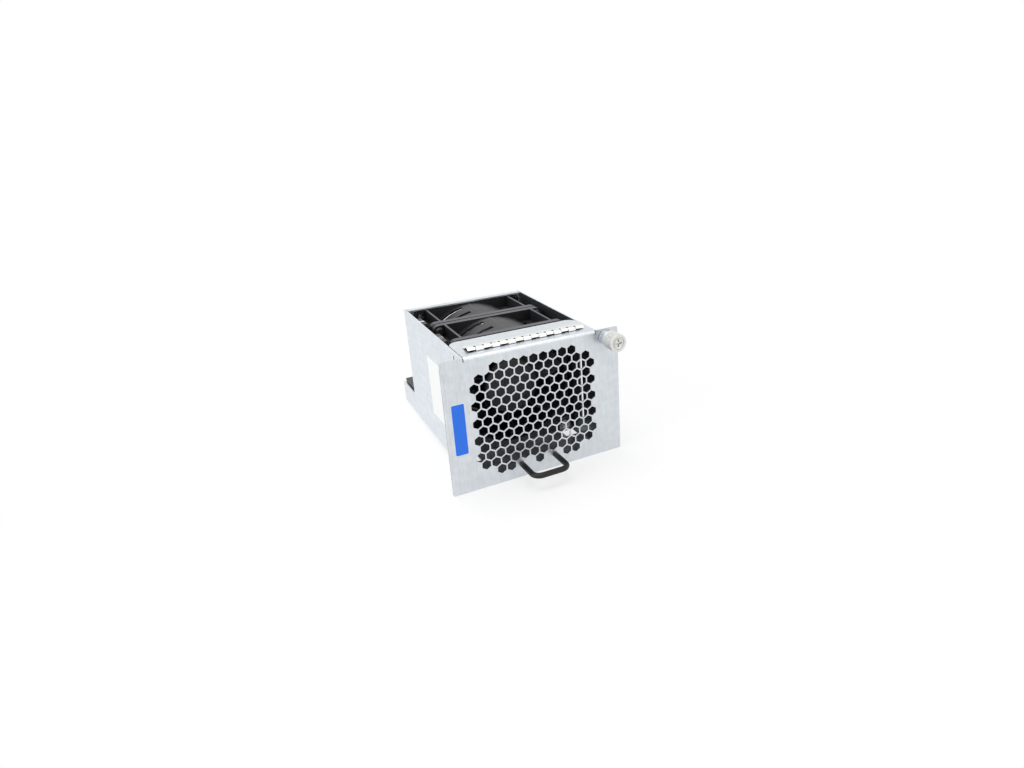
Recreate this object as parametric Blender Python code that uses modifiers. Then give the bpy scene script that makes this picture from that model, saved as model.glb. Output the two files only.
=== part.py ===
"""Switch fan tray: two fans in series in a sheet metal tray that slides into a chassis.

Metres, +Z up. The front panel faces -Y and the tray slides in along +Y. X = 0 is the middle
of the panel, Z = 0 its lower edge, and Y = 0 the middle of the whole depth.
"""

import math

import bmesh
import bpy
from mathutils import Euler, Matrix, Vector

# Front panel
LEFT_MARGIN = 0.0134
RIGHT_MARGIN = 0.0151
PANEL_SHEET = 0.0008
PANEL_CORNER_RADIUS = 0.0012
LIP_DEPTH = 0.031
LIP_CORNER_RADIUS = 0.0065
BEND_RADIUS = 0.0018
RELIEF_WIDTH = 0.0006
RELIEF_DEPTH = 0.0026

# Grille of pointy-topped hexagons
HEX_ACROSS_FLATS = 0.0056
HEX_WEB = 0.0009
GRILLE_SHIFT_X = 0.00015
GRILLE_SHIFT_Z = 0.0002
GRILLE_EDGE_Z = 0.0075
GRILLE_EDGE_X = 0.0035

# Sheet metal tray
TRAY_SHEET = 0.0010
CABLE_GAP = 0.0051
RIGHT_GAP = 0.0024
FAN_HEADROOM = 0.0017
TRAY_FLOOR_HEIGHT = 0.0034
TRAY_TOP_DROP = 0.0002
TRAY_BEND_RADIUS = 0.0020
TAIL_LENGTH = 0.0315
TAIL_WALL_HEIGHT = 0.0166
REAR_FLANGE_DEPTH = 0.0065
SIDE_FLANGE_DEPTH = 0.0050
REAR_BEND_RADIUS = 0.0016
GUARD_RINGS = 3
GUARD_FIRST_RADIUS = 0.0150
GUARD_PITCH = 0.0080
GUARD_SLOT_WIDTH = 0.0058
GUARD_SPOKE = 0.0030
SEAT_GAP = 0.0003
LEFT_SLOT_DEPTH = 0.0134
LEFT_SLOT_WIDTH = 0.0016
RIGHT_SLOT_DEPTH = 0.0205
RIGHT_SLOT_WIDTH = 0.0032
WALL_SLOT_LOW = 0.0120
WALL_SLOT_HIGH = 0.0837

# Fans
FAN_SIDE = 0.080
FAN_DEPTH = 0.0417
FAN_SETBACK = 0.0380
FAN_SPACING = 0.0013
FAN_CORNER_RADIUS = 0.0042
FAN_FLANGE = 0.0047
BORE_EDGE = 0.0017
BARREL_WALL = 0.0013
HOLE_INSET = 0.00425
FAN_HOLE_RADIUS = 0.00215
WEB_OFFSET = 0.0316
WEB_THICKNESS = 0.0014
SLIT_WIDTH = 0.0040
# Side of a flat, depth behind the fan's front, and the angles from the flat's middle between which a slit runs
SLITS = (
    (-1, 0.0158, math.radians(8), math.radians(25)),
    (-1, 0.0300, math.radians(10), math.radians(36)),
    (1, 0.0158, math.radians(25), math.radians(40)),
    (1, 0.0300, math.radians(25), math.radians(40)),
)
STRUT_WIDTH = 0.0032
STRUT_DEPTH = 0.0040
STRUT_COUNT = 4
MOTOR_BASE_RADIUS = 0.0190
MOTOR_BASE_THICKNESS = 0.0020

# Impeller and motor
HUB_RADIUS = 0.0200
HUB_WALL = 0.0016
HUB_LENGTH = 0.0280
HUB_INSET = 0.0030
HUB_BOSS = 0.0010
TUBE_CLEARANCE = 0.0015
BASE_EDGE = 0.0005
BLADE_COUNT = 7
BLADE_THICKNESS = 0.0014
BLADE_DEPTH = 0.0265
BLADE_TURN = math.radians(46)
BLADE_SWEEP = math.radians(9)
BLADE_CAMBER = 0.22
TIP_CLEARANCE = 0.0008
MAGNET_THICKNESS = 0.0016
MAGNET_LENGTH = 0.0160
STATOR_AIR_GAP = 0.0005
STATOR_LENGTH = 0.0110
STATOR_ARMS = 6
STATOR_ARM_WIDTH = 0.0030
STATOR_SHOE_DEPTH = 0.0016
STATOR_CORE_RADIUS = 0.0066
WINDING_GAP = 0.0016
CIRCUIT_BOARD_THICKNESS = 0.0010
SHAFT_RADIUS = 0.0015
BEARING_OUTER_RADIUS = 0.0040
BEARING_WIDTH = 0.0030
BEARING_PLAY = 0.00006
BEARING_TUBE_RADIUS = 0.0052
SHAFT_CLIP_RADIUS = 0.0028
SHAFT_CLIP_THICKNESS = 0.0006

# Handle
HANDLE_ROD_RADIUS = 0.00185
HANDLE_SPREAD = 0.0233
HANDLE_X = -0.00175
HANDLE_Z = 0.0090
HANDLE_REACH = 0.02025
HANDLE_BEND_RADIUS = 0.0052
HANDLE_BORE_RADIUS = 0.0009
HANDLE_BORE_DEPTH = 0.0060
HANDLE_SCREW_HEAD_RADIUS = 0.0028
HANDLE_SCREW_HEAD_HEIGHT = 0.0016

# Captive thumb screw
THUMB_INSET = 0.0090
THUMB_DROP = 0.0055
THUMB_STAND_OFF = 0.0162
KNOB_RADIUS = 0.0058
KNOB_LENGTH = 0.0100
KNOB_FACE_THICKNESS = 0.0032
KNOB_SKIRT_WALL = 0.0012
KNOB_FLUTES = 24
KNOB_FLUTE_DEPTH = 0.00025
RECESS_WIDTH = 0.0011
RECESS_LENGTH = 0.0050
RECESS_DEPTH = 0.0018
THUMB_TRAVEL = 0.0045
THUMB_SCREW_RADIUS = 0.0020
THUMB_SCREW_PLAY = 0.0001
THUMB_SCREW_REACH = 0.0075
FERRULE_RADIUS = 0.0040
FERRULE_WALL = 0.0006
FERRULE_LENGTH = 0.0054
FERRULE_FLANGE_RADIUS = 0.0050
FERRULE_FLANGE = 0.0008
FERRULE_NECK_RADIUS = 0.0031
SPRING_WIRE = 0.0005
SPRING_TURNS = 5
WASHER_THICKNESS = 0.0006
THUMB_CLIP_RADIUS = 0.0036
THUMB_CLIP_THICKNESS = 0.0008

# Spring finger strip on the lip
STRIP_LENGTH = 0.0777
STRIP_X = 0.0
STRIP_SHEET = 0.00025
STRIP_FRONT = 0.0072
STRIP_CREST = 0.0099
STRIP_CREST_RISE = 0.0020
STRIP_FOOT_START = 0.0158
STRIP_FOOT_END = 0.0180
FINGER_PITCH = 0.005135
FINGER_SLIT = 0.00025
FINGER_LIFT = 0.0007
SLIT_RELIEF_WIDTH = 0.0012
SLIT_RELIEF_START = 0.0090
SLIT_RELIEF_END = 0.0115

# Fasteners that hold the fans
TAB_WIDTH = 0.0090
TAB_ABOVE_HOLE = 0.0046
FAN_SCREW_RADIUS = 0.0017
FAN_SCREW_LENGTH = 0.0068
FAN_SCREW_HEAD_RADIUS = 0.0034
FAN_SCREW_HEAD_HEIGHT = 0.0018
PIN_RADIUS = 0.0018
PIN_HEAD_RADIUS = 0.0031
PIN_HEAD_HEIGHT = 0.0014

# Wiring
LEAD_RADIUS = 0.0011
PLUG_WIDTH = 0.0042
PLUG_HEIGHT = 0.0056
PLUG_LENGTH = 0.0082
PLUG_TOP_DROP = 0.0014
FRONT_PLUG_OFFSET = 0.0118
REAR_PLUG_OFFSET = 0.0030
CABLE_SLOT_WIDTH = 0.0062
CABLE_SLOT_HEIGHT = 0.0090
CABLE_SLOT_RISE = 0.0070
FRONT_RUN_HEIGHT = 0.0086
REAR_RUN_HEIGHT = 0.0118
LEAD_BEND = 0.0021
LEAD_SLOPE = 0.0140
LEAD_LOOP = 0.0045
HARNESS_LOOP = 0.0040

# Interface board on the tail
BOARD_WIDTH = 0.0560
BOARD_DEPTH = 0.0230
BOARD_THICKNESS = 0.0016
BOARD_HEIGHT = 0.0050
BOARD_SIDE_GAP = 0.0008
BOARD_INSET = 0.0020
HEADER_INSET = 0.0005
CONNECTOR_WIDTH = 0.0240
CONNECTOR_DEPTH = 0.0215
CONNECTOR_HEIGHT = 0.0110
CONNECTOR_CAVITY_DEPTH = 0.0070
CONNECTOR_WALL = 0.0016
HEADER_GAP = 0.0035
HEADER_WIDTH = 0.0100
HEADER_DEPTH = 0.0050
HEADER_HEIGHT = 0.0066
STANDOFF_RADIUS = 0.0024
BOARD_SCREW_RADIUS = 0.0012
BOARD_SCREW_HEAD_RADIUS = 0.0024
BOARD_SCREW_HEAD_HEIGHT = 0.0014

ROUND_STEPS = 32
SMALL_STEPS = 14
BEND_STEPS = 4

# Values that follow from the sizes above
FAN_BORE_RADIUS = FAN_SIDE / 2 - BORE_EDGE
HOLE_PITCH = FAN_SIDE - 2 * HOLE_INSET
BARREL_RADIUS = FAN_BORE_RADIUS + BARREL_WALL
TRAY_WIDTH = 2 * TRAY_SHEET + CABLE_GAP + FAN_SIDE + RIGHT_GAP
PANEL_WIDTH = LEFT_MARGIN + TRAY_WIDTH + RIGHT_MARGIN
TRAY_X = (LEFT_MARGIN - RIGHT_MARGIN) / 2
PANEL_HEIGHT = TRAY_FLOOR_HEIGHT + TRAY_SHEET + SEAT_GAP + FAN_SIDE + FAN_HEADROOM
REAR_FAN_SETBACK = FAN_SETBACK + FAN_DEPTH + FAN_SPACING
REAR_FAN_END = REAR_FAN_SETBACK + FAN_DEPTH
REAR_WALL_DEPTH = REAR_FAN_END + SEAT_GAP + TRAY_SHEET
PANEL_FRONT_Y = (HANDLE_REACH + HANDLE_ROD_RADIUS - REAR_WALL_DEPTH - TAIL_LENGTH) / 2
THUMB_X = PANEL_WIDTH / 2 - THUMB_INSET
THUMB_Z = PANEL_HEIGHT - THUMB_DROP
HEX_PITCH = HEX_ACROSS_FLATS + HEX_WEB
HEX_ROW_PITCH = HEX_PITCH * math.sqrt(3) / 2
GRILLE_X = TRAY_X + GRILLE_SHIFT_X
GRILLE_Z = PANEL_HEIGHT / 2 + GRILLE_SHIFT_Z
GRILLE_ROWS_EACH_WAY = int((PANEL_HEIGHT / 2 - GRILLE_EDGE_Z) / HEX_ROW_PITCH)
GRILLE_HALF_COLUMNS = int((TRAY_WIDTH / 2 - GRILLE_EDGE_X) / HEX_PITCH)
TRAY_LEFT = TRAY_X - TRAY_WIDTH / 2
TRAY_RIGHT = TRAY_X + TRAY_WIDTH / 2
TRAY_INNER_LEFT = TRAY_LEFT + TRAY_SHEET
TRAY_INNER_RIGHT = TRAY_RIGHT - TRAY_SHEET
TRAY_TOP = PANEL_HEIGHT - TRAY_TOP_DROP
TRAY_FLOOR = TRAY_FLOOR_HEIGHT + TRAY_SHEET
TAIL_END = REAR_WALL_DEPTH + TAIL_LENGTH
FAN_X = TRAY_INNER_LEFT + CABLE_GAP + FAN_SIDE / 2
FAN_Z = TRAY_FLOOR + SEAT_GAP + FAN_SIDE / 2
FAN_LEFT = FAN_X - FAN_SIDE / 2
LOW_HOLE_Z = FAN_Z - HOLE_PITCH / 2
LIP_UNDERSIDE = PANEL_HEIGHT - PANEL_SHEET
BOARD_TOP = TRAY_FLOOR + BOARD_HEIGHT + BOARD_THICKNESS
BOARD_X = TRAY_INNER_LEFT + BOARD_SIDE_GAP + BOARD_WIDTH / 2
BOARD_LEFT = BOARD_X - BOARD_WIDTH / 2
BOARD_REAR = TAIL_END - BOARD_INSET
BOARD_FRONT = BOARD_REAR - BOARD_DEPTH
HEADER_LEFT = BOARD_LEFT + CONNECTOR_WIDTH + HEADER_GAP
HEADER_FRONT = BOARD_FRONT + HEADER_INSET
HARNESS_X = (TRAY_INNER_LEFT + FAN_LEFT) / 2

# Local Z turned to +Y, and a section in the YZ plane turned to run along X
ALONG_Y = Euler((-math.pi / 2, 0, 0))
SECTION_ALONG_X = Euler((math.pi / 2, 0, math.pi / 2))
SECTION_ALONG_Y = Euler((math.pi / 2, 0, 0))


def clear_scene():
    for obj in list(bpy.data.objects):
        bpy.data.objects.remove(obj, do_unlink=True)


def new_collection(name):
    collection = bpy.data.collections.new(name)
    bpy.context.scene.collection.children.link(collection)
    return collection


def material(name, color, roughness, metallic):
    made = bpy.data.materials.new(name)
    made.use_nodes = True
    shader = made.node_tree.nodes["Principled BSDF"]
    shader.inputs["Base Color"].default_value = (*color, 1)
    shader.inputs["Roughness"].default_value = roughness
    shader.inputs["Metallic"].default_value = metallic
    made.diffuse_color = (*color, 1)
    return made


def add_object(name, data, centre, finish=None, rotation=None, helper=False):
    """Links an object at a place given from the middle of the panel's lower front edge."""
    obj = bpy.data.objects.new(name, data)
    (CUTTERS if helper else PARTS).objects.link(obj)
    obj.parent = DATUM
    obj.location = centre
    if rotation is not None:
        obj.rotation_euler = rotation
    if finish is not None:
        data.materials.append(finish)
    if helper:
        obj.hide_render = True
        obj.display_type = "WIRE"
    return obj


def mesh_from(name, bm):
    bmesh.ops.recalc_face_normals(bm, faces=bm.faces)
    mesh = bpy.data.meshes.new(name)
    bm.to_mesh(mesh)
    bm.free()
    return mesh


def block(name, size, centre, finish=None, round_axis=None, radius=0.0, steps=BEND_STEPS, helper=False):
    """A box whose four edges along one axis may be rounded."""
    bm = bmesh.new()
    bmesh.ops.create_cube(bm, size=1, matrix=Matrix.Diagonal((*size, 1)))
    if round_axis is not None:
        edges = []
        for edge in bm.edges:
            run = edge.verts[1].co - edge.verts[0].co
            if abs(run["XYZ".index(round_axis)]) > 0.5 * size["XYZ".index(round_axis)]:
                edges.append(edge)
        bmesh.ops.bevel(
            bm, geom=edges, offset=radius, offset_type="OFFSET", segments=steps, profile=0.5, affect="EDGES"
        )
    return add_object(name, mesh_from(name, bm), centre, finish, helper=helper)


def box_between(name, low, high, finish=None, **options):
    low, high = Vector(low), Vector(high)
    return block(name, high - low, (low + high) / 2, finish, **options)


def drum(name, radius, length, centre, finish=None, steps=ROUND_STEPS, rotation=ALONG_Y, helper=False):
    """A plain cylinder, its middle at the centre."""
    bm = bmesh.new()
    bmesh.ops.create_cone(bm, cap_ends=True, segments=steps, radius1=radius, radius2=radius, depth=length)
    return add_object(name, mesh_from(name, bm), centre, finish, rotation, helper)


def turned(name, profile, centre, finish=None, steps=ROUND_STEPS, rotation=ALONG_Y, helper=False):
    """A closed profile of (radius, height) points, listed down its outer side, turned about local Z."""
    mesh = bpy.data.meshes.new(name)
    points = [(radius, 0, height) for radius, height in profile]
    on_axis = profile[0][0] == 0 and profile[-1][0] == 0
    links = [(i, i + 1) for i in range(len(points) - 1)]
    if not on_axis:
        links.append((len(points) - 1, 0))
    mesh.from_pydata(points, links, [])
    obj = add_object(name, mesh, centre, finish, rotation, helper)
    screw = obj.modifiers.new("Turn", "SCREW")
    screw.axis = "Z"
    screw.steps = steps
    screw.render_steps = steps
    screw.use_merge_vertices = True
    screw.merge_threshold = 0.00001
    screw.use_smooth_shade = False
    return obj


def ring(name, inner, outer, length, centre, finish=None, steps=ROUND_STEPS, helper=False):
    """A plain tube along Y."""
    half = length / 2
    profile = [(outer, half), (outer, -half), (inner, -half), (inner, half)]
    return turned(name, profile, centre, finish, steps, helper=helper)


def headed_pin(name, head_radius, head_height, radius, length, centre, finish, rotation=ALONG_Y, steps=SMALL_STEPS):
    """A screw or pin: its shank starts at the centre and runs along local Z, its head lies behind."""
    profile = [
        (0, length),
        (radius * 0.8, length),
        (radius, length - radius * 0.4),
        (radius, 0),
        (head_radius, 0),
        (head_radius, -head_height * 0.6),
        (head_radius * 0.8, -head_height),
        (0, -head_height),
    ]
    return turned(name, profile, centre, finish, steps, rotation)


def outline_solid(name, points, thickness, centre, rotation, finish=None, helper=False):
    """A flat outline given thickness: a filled 2D curve, made a mesh whose caps are welded."""
    curve = bpy.data.curves.new(name, "CURVE")
    curve.dimensions = "2D"
    curve.fill_mode = "BOTH"
    curve.extrude = thickness / 2
    spline = curve.splines.new("POLY")
    spline.points.add(len(points) - 1)
    for point, (u, v) in zip(spline.points, points):
        point.co = (u, v, 0, 1)
    spline.use_cyclic_u = True
    guide = bpy.data.objects.new(name + "_outline", curve)
    bpy.context.scene.collection.objects.link(guide)
    evaluated = guide.evaluated_get(bpy.context.evaluated_depsgraph_get())
    flat = bpy.data.meshes.new_from_object(evaluated)
    bm = bmesh.new()
    bm.from_mesh(flat)
    bmesh.ops.remove_doubles(bm, verts=bm.verts, dist=0.000001)
    bpy.data.objects.remove(guide, do_unlink=True)
    bpy.data.meshes.remove(flat)
    return add_object(name, mesh_from(name, bm), centre, finish, rotation, helper)


def arc(centre_u, centre_v, radius, start, end, steps=BEND_STEPS):
    """Points on an arc, angles in degrees."""
    points = []
    for i in range(steps + 1):
        angle = math.radians(start + (end - start) * i / steps)
        points.append((centre_u + radius * math.cos(angle), centre_v + radius * math.sin(angle)))
    return points


def combine(target, other, operation):
    modifier = target.modifiers.new(operation.title(), "BOOLEAN")
    modifier.operation = operation
    modifier.object = other
    modifier.solver = "EXACT"
    if other.name in PARTS.objects:
        PARTS.objects.unlink(other)
        CUTTERS.objects.link(other)
    other.hide_render = True
    other.display_type = "WIRE"
    return target


def cut(target, *others):
    for other in others:
        combine(target, other, "DIFFERENCE")
    return target


def join(target, *others):
    for other in others:
        combine(target, other, "UNION")
    return target


def tube(name, corners, radius, finish, sides=2):
    """A cord of straight legs whose corners are rounded to LEAD_BEND."""
    points = rounded_route(corners, LEAD_BEND)
    curve = bpy.data.curves.new(name, "CURVE")
    curve.dimensions = "3D"
    curve.bevel_depth = radius
    curve.bevel_resolution = sides
    curve.use_fill_caps = True
    spline = curve.splines.new("POLY")
    spline.points.add(len(points) - 1)
    for point, place in zip(spline.points, points):
        point.co = (*place, 1)
    return add_object(name, curve, (0, 0, 0), finish)


def rounded_route(corners, bend):
    """Each inner corner is replaced by an arc in the plane of its two legs."""
    corners = [Vector(corner) for corner in corners]
    points = [corners[0]]
    for before, corner, after in zip(corners, corners[1:], corners[2:]):
        back, ahead = (before - corner).normalized(), (after - corner).normalized()
        half = back.angle(ahead) / 2
        middle = corner + (back + ahead).normalized() * bend / math.sin(half)
        first = corner + back * bend / math.tan(half) - middle
        last = corner + ahead * bend / math.tan(half) - middle
        turn = first.angle(last)
        steps = max(2, round(turn / math.radians(24)))
        for i in range(steps + 1):
            points.append(middle + Matrix.Rotation(turn * i / steps, 3, first.cross(last)) @ first)
    points.append(corners[-1])
    return points


def hexagon_cutter():
    """Rows of pointy-topped hexagons; the outer rows leave out what the corners and the handle need."""
    bm = bmesh.new()
    corner_radius = HEX_ACROSS_FLATS / math.sqrt(3)
    for row in range(-GRILLE_ROWS_EACH_WAY, GRILLE_ROWS_EACH_WAY + 1):
        for column in row_columns(row):
            place = Vector((column * HEX_PITCH, 0, row * HEX_ROW_PITCH))
            turn = Matrix.Rotation(math.pi / 2, 4, "X") @ Matrix.Rotation(math.pi / 6, 4, "Z")
            bmesh.ops.create_cone(
                bm,
                cap_ends=True,
                segments=6,
                radius1=corner_radius,
                radius2=corner_radius,
                depth=4 * PANEL_SHEET,
                matrix=Matrix.Translation(place) @ turn,
            )
    centre = (GRILLE_X, PANEL_SHEET / 2, GRILLE_Z)
    return add_object("hexagon_cutter", mesh_from("hexagon_cutter", bm), centre, helper=True)


def row_columns(row):
    """Column numbers of one row: whole numbers in even rows, halves in odd ones."""
    if row == GRILLE_ROWS_EACH_WAY:
        return range(2 - GRILLE_HALF_COLUMNS, GRILLE_HALF_COLUMNS - 1)
    if row == -GRILLE_ROWS_EACH_WAY:
        return [c for c in range(2 - GRILLE_HALF_COLUMNS, GRILLE_HALF_COLUMNS - 1) if abs(c) not in (1, 2)]
    if row % 2:
        return [c + 0.5 for c in range(-GRILLE_HALF_COLUMNS, GRILLE_HALF_COLUMNS)]
    return range(-GRILLE_HALF_COLUMNS, GRILLE_HALF_COLUMNS + 1)


def make_front_panel():
    middle = (0, PANEL_SHEET / 2, PANEL_HEIGHT / 2)
    size = (PANEL_WIDTH, PANEL_SHEET, PANEL_HEIGHT)
    panel = block("front_panel", size, middle, ZINC, "Y", PANEL_CORNER_RADIUS)
    lip_left = TRAY_INNER_LEFT + SEAT_GAP
    lip_right = TRAY_INNER_RIGHT - SEAT_GAP
    notch = box_between(
        "lip_notch",
        (lip_left - RELIEF_WIDTH, -PANEL_SHEET, PANEL_HEIGHT - RELIEF_DEPTH),
        (lip_right + RELIEF_WIDTH, 2 * PANEL_SHEET, PANEL_HEIGHT + RELIEF_DEPTH),
        helper=True,
    )
    cut(panel, notch, hexagon_cutter())
    overlap = PANEL_HEIGHT - 2 * RELIEF_DEPTH
    inner_radius = BEND_RADIUS - PANEL_SHEET
    turn_z = PANEL_HEIGHT - BEND_RADIUS
    section = [(0, overlap)]
    section += [(PANEL_SHEET, overlap)]
    section += arc(BEND_RADIUS, turn_z, inner_radius, 180, 90)
    section += [(LIP_DEPTH, LIP_UNDERSIDE), (LIP_DEPTH, PANEL_HEIGHT)]
    section += arc(BEND_RADIUS, turn_z, BEND_RADIUS, 90, 180)
    lip_middle = (lip_left + lip_right) / 2
    lip = outline_solid("lip", section, lip_right - lip_left, (lip_middle, 0, 0), SECTION_ALONG_X)
    for side, edge in ((1, lip_right), (-1, lip_left)):
        corner = (edge - side * LIP_CORNER_RADIUS, LIP_DEPTH - LIP_CORNER_RADIUS, LIP_UNDERSIDE)
        reach = 1.5 * LIP_CORNER_RADIUS
        square = box_between(
            f"lip_corner_{side}",
            (min(corner[0], corner[0] + side * reach), corner[1], LIP_UNDERSIDE - PANEL_SHEET),
            (max(corner[0], corner[0] + side * reach), corner[1] + reach, PANEL_HEIGHT + PANEL_SHEET),
            helper=True,
        )
        keep = drum(f"lip_round_{side}", LIP_CORNER_RADIUS, 8 * PANEL_SHEET, corner, steps=24, rotation=Euler((0, 0, 0)), helper=True)
        cut(square, keep)
        cut(lip, square)
    join(panel, lip)
    thumb_hole = drum("thumb_hole", FERRULE_NECK_RADIUS + SEAT_GAP, 10 * PANEL_SHEET, (THUMB_X, 0, THUMB_Z), steps=20, helper=True)
    cut(panel, thumb_hole)
    for side in (-1, 1):
        place = (HANDLE_X + side * HANDLE_SPREAD / 2, 0, HANDLE_Z)
        hole = drum(f"handle_hole_{side}", HANDLE_BORE_RADIUS + SEAT_GAP, 10 * PANEL_SHEET, place, steps=SMALL_STEPS, helper=True)
        cut(panel, hole)
    return panel


def make_chassis_tub():
    start = PANEL_SHEET + SEAT_GAP
    length = TAIL_END - start
    left, right, low, top = TRAY_LEFT, TRAY_RIGHT, TRAY_FLOOR_HEIGHT, TRAY_TOP
    outer, inner = TRAY_BEND_RADIUS, TRAY_BEND_RADIUS - TRAY_SHEET
    section = [(left, top)]
    section += arc(left + outer, low + outer, outer, 180, 270)
    section += arc(right - outer, low + outer, outer, 270, 360)
    section += [(right, top), (right - TRAY_SHEET, top)]
    section += arc(right - outer, low + outer, inner, 360, 270)
    section += arc(left + outer, low + outer, inner, 270, 180)
    section += [(left + TRAY_SHEET, top)]
    middle = (0, start + length / 2, 0)
    tub = outline_solid("chassis_tub", section, length, middle, SECTION_ALONG_Y, ZINC_SIDE)
    tail_cut = box_between(
        "tail_cut",
        (left - 10 * TRAY_SHEET, REAR_WALL_DEPTH, low + TAIL_WALL_HEIGHT),
        (right + 10 * TRAY_SHEET, TAIL_END + 10 * TRAY_SHEET, top + 10 * TRAY_SHEET),
        helper=True,
    )
    cut(tub, tail_cut)
    for side, wall, depth, width in (
        ("left", left, LEFT_SLOT_DEPTH, LEFT_SLOT_WIDTH),
        ("right", right, RIGHT_SLOT_DEPTH, RIGHT_SLOT_WIDTH),
    ):
        slot = box_between(
            f"wall_slot_{side}",
            (wall - 2 * TRAY_SHEET, depth, WALL_SLOT_LOW),
            (wall + 2 * TRAY_SHEET, depth + width, WALL_SLOT_HIGH),
            helper=True,
        )
        cut(tub, slot)
    for side in (-1, 1):
        add_fan_tab(tub, side)
        hole = drum(
            f"standoff_hole_{side}",
            BOARD_SCREW_RADIUS + SEAT_GAP,
            4 * TRAY_SHEET,
            (*standoff_place(side), low + TRAY_SHEET / 2),
            steps=SMALL_STEPS,
            rotation=Euler((0, 0, 0)),
            helper=True,
        )
        cut(tub, hole)
    return tub


def add_fan_tab(tub, side):
    """A tab lanced up from the floor before the front fan, with the window that it leaves and its screw hole."""
    x = FAN_X + side * HOLE_PITCH / 2
    rear = FAN_SETBACK - SEAT_GAP
    front = rear - TRAY_SHEET
    top = LOW_HOLE_Z + TAB_ABOVE_HOLE
    tab = box_between(
        f"tab_{side}",
        (x - TAB_WIDTH / 2, front, TRAY_FLOOR - TRAY_SHEET / 2),
        (x + TAB_WIDTH / 2, rear, top),
        helper=True,
    )
    window = box_between(
        f"window_{side}",
        (x - TAB_WIDTH / 2, front - TRAY_SHEET - (top - TRAY_FLOOR), TRAY_FLOOR_HEIGHT - TRAY_SHEET),
        (x + TAB_WIDTH / 2, front - TRAY_SHEET, TRAY_FLOOR + TRAY_SHEET),
        helper=True,
    )
    hole = drum(f"tab_hole_{side}", FAN_HOLE_RADIUS, 0.01, (x, rear, LOW_HOLE_Z), steps=SMALL_STEPS, helper=True)
    join(tub, tab)
    cut(tub, window, hole)


def standoff_place(side):
    """Left and right board screws, seen from above."""
    if side < 0:
        return (BOARD_LEFT + CONNECTOR_WIDTH + 0.0045, BOARD_REAR - 0.004)
    return (BOARD_LEFT + BOARD_WIDTH - 0.004, BOARD_FRONT + 0.004)


def make_rear_panel():
    left = TRAY_INNER_LEFT + SEAT_GAP
    right = TRAY_INNER_RIGHT - SEAT_GAP
    low = TRAY_FLOOR + SEAT_GAP
    rear = REAR_WALL_DEPTH
    top, sheet, bend = TRAY_TOP, TRAY_SHEET, REAR_BEND_RADIUS
    section = [(rear - sheet, low)]
    section += [(rear, low)]
    section += arc(rear - bend, top - bend, bend, 0, 90)
    section += [(rear - REAR_FLANGE_DEPTH, top), (rear - REAR_FLANGE_DEPTH, top - sheet)]
    section += arc(rear - bend, top - bend, bend - sheet, 90, 0)
    middle = ((left + right) / 2, 0, 0)
    panel = outline_solid("rear_panel", section, right - left, middle, SECTION_ALONG_X, ZINC)
    for side, edge in ((1, right), (-1, left)):
        inner = edge - side * sheet
        flange = box_between(
            f"rear_flange_{side}",
            (min(edge, inner), rear - SIDE_FLANGE_DEPTH, low + 0.006),
            (max(edge, inner), rear - sheet / 2, top - 2 * bend),
            helper=True,
        )
        join(panel, flange)
    for number, (inner, outer) in enumerate(guard_slots()):
        slot = ring(f"guard_slot_{number}", inner, outer, 0.006, (FAN_X, rear, FAN_Z), helper=True)
        for side in (-1, 1):
            spoke = block(f"spoke_{number}_{side}", (2 * FAN_SIDE, 20 * TRAY_SHEET, GUARD_SPOKE), (FAN_X, rear, FAN_Z), helper=True)
            spoke.rotation_euler = (0, side * math.pi / 4, 0)
            cut(slot, spoke)
        cut(panel, slot)
    for side in (-1, 1):
        place = (FAN_X + side * HOLE_PITCH / 2, rear, LOW_HOLE_Z)
        cut(panel, drum(f"rear_hole_{side}", FAN_HOLE_RADIUS, 0.006, place, steps=SMALL_STEPS, helper=True))
    slot_low = TRAY_FLOOR + CABLE_SLOT_RISE
    cable_slot = box_between(
        "cable_slot",
        (left - 0.001, rear - 0.0056, slot_low),
        (left + CABLE_SLOT_WIDTH, rear + 0.002, slot_low + CABLE_SLOT_HEIGHT),
        helper=True,
    )
    return cut(panel, cable_slot)


def guard_slots():
    """Inner and outer radius of each ring of slots in the outlet guard."""
    radii = [GUARD_FIRST_RADIUS + i * GUARD_PITCH for i in range(GUARD_RINGS)]
    return [(radius, radius + GUARD_SLOT_WIDTH) for radius in radii]


def sheet_outline(points, thickness):
    """The closed outline of bent sheet: the points of its upper side and the same moved down square to it."""
    under = []
    for i, (u, v) in enumerate(points):
        before, after = points[max(i - 1, 0)], points[min(i + 1, len(points) - 1)]
        run, rise = after[0] - before[0], after[1] - before[1]
        length = math.hypot(run, rise)
        under.append((u - thickness * rise / length, v + thickness * run / length))
    return points + under[::-1]


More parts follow.
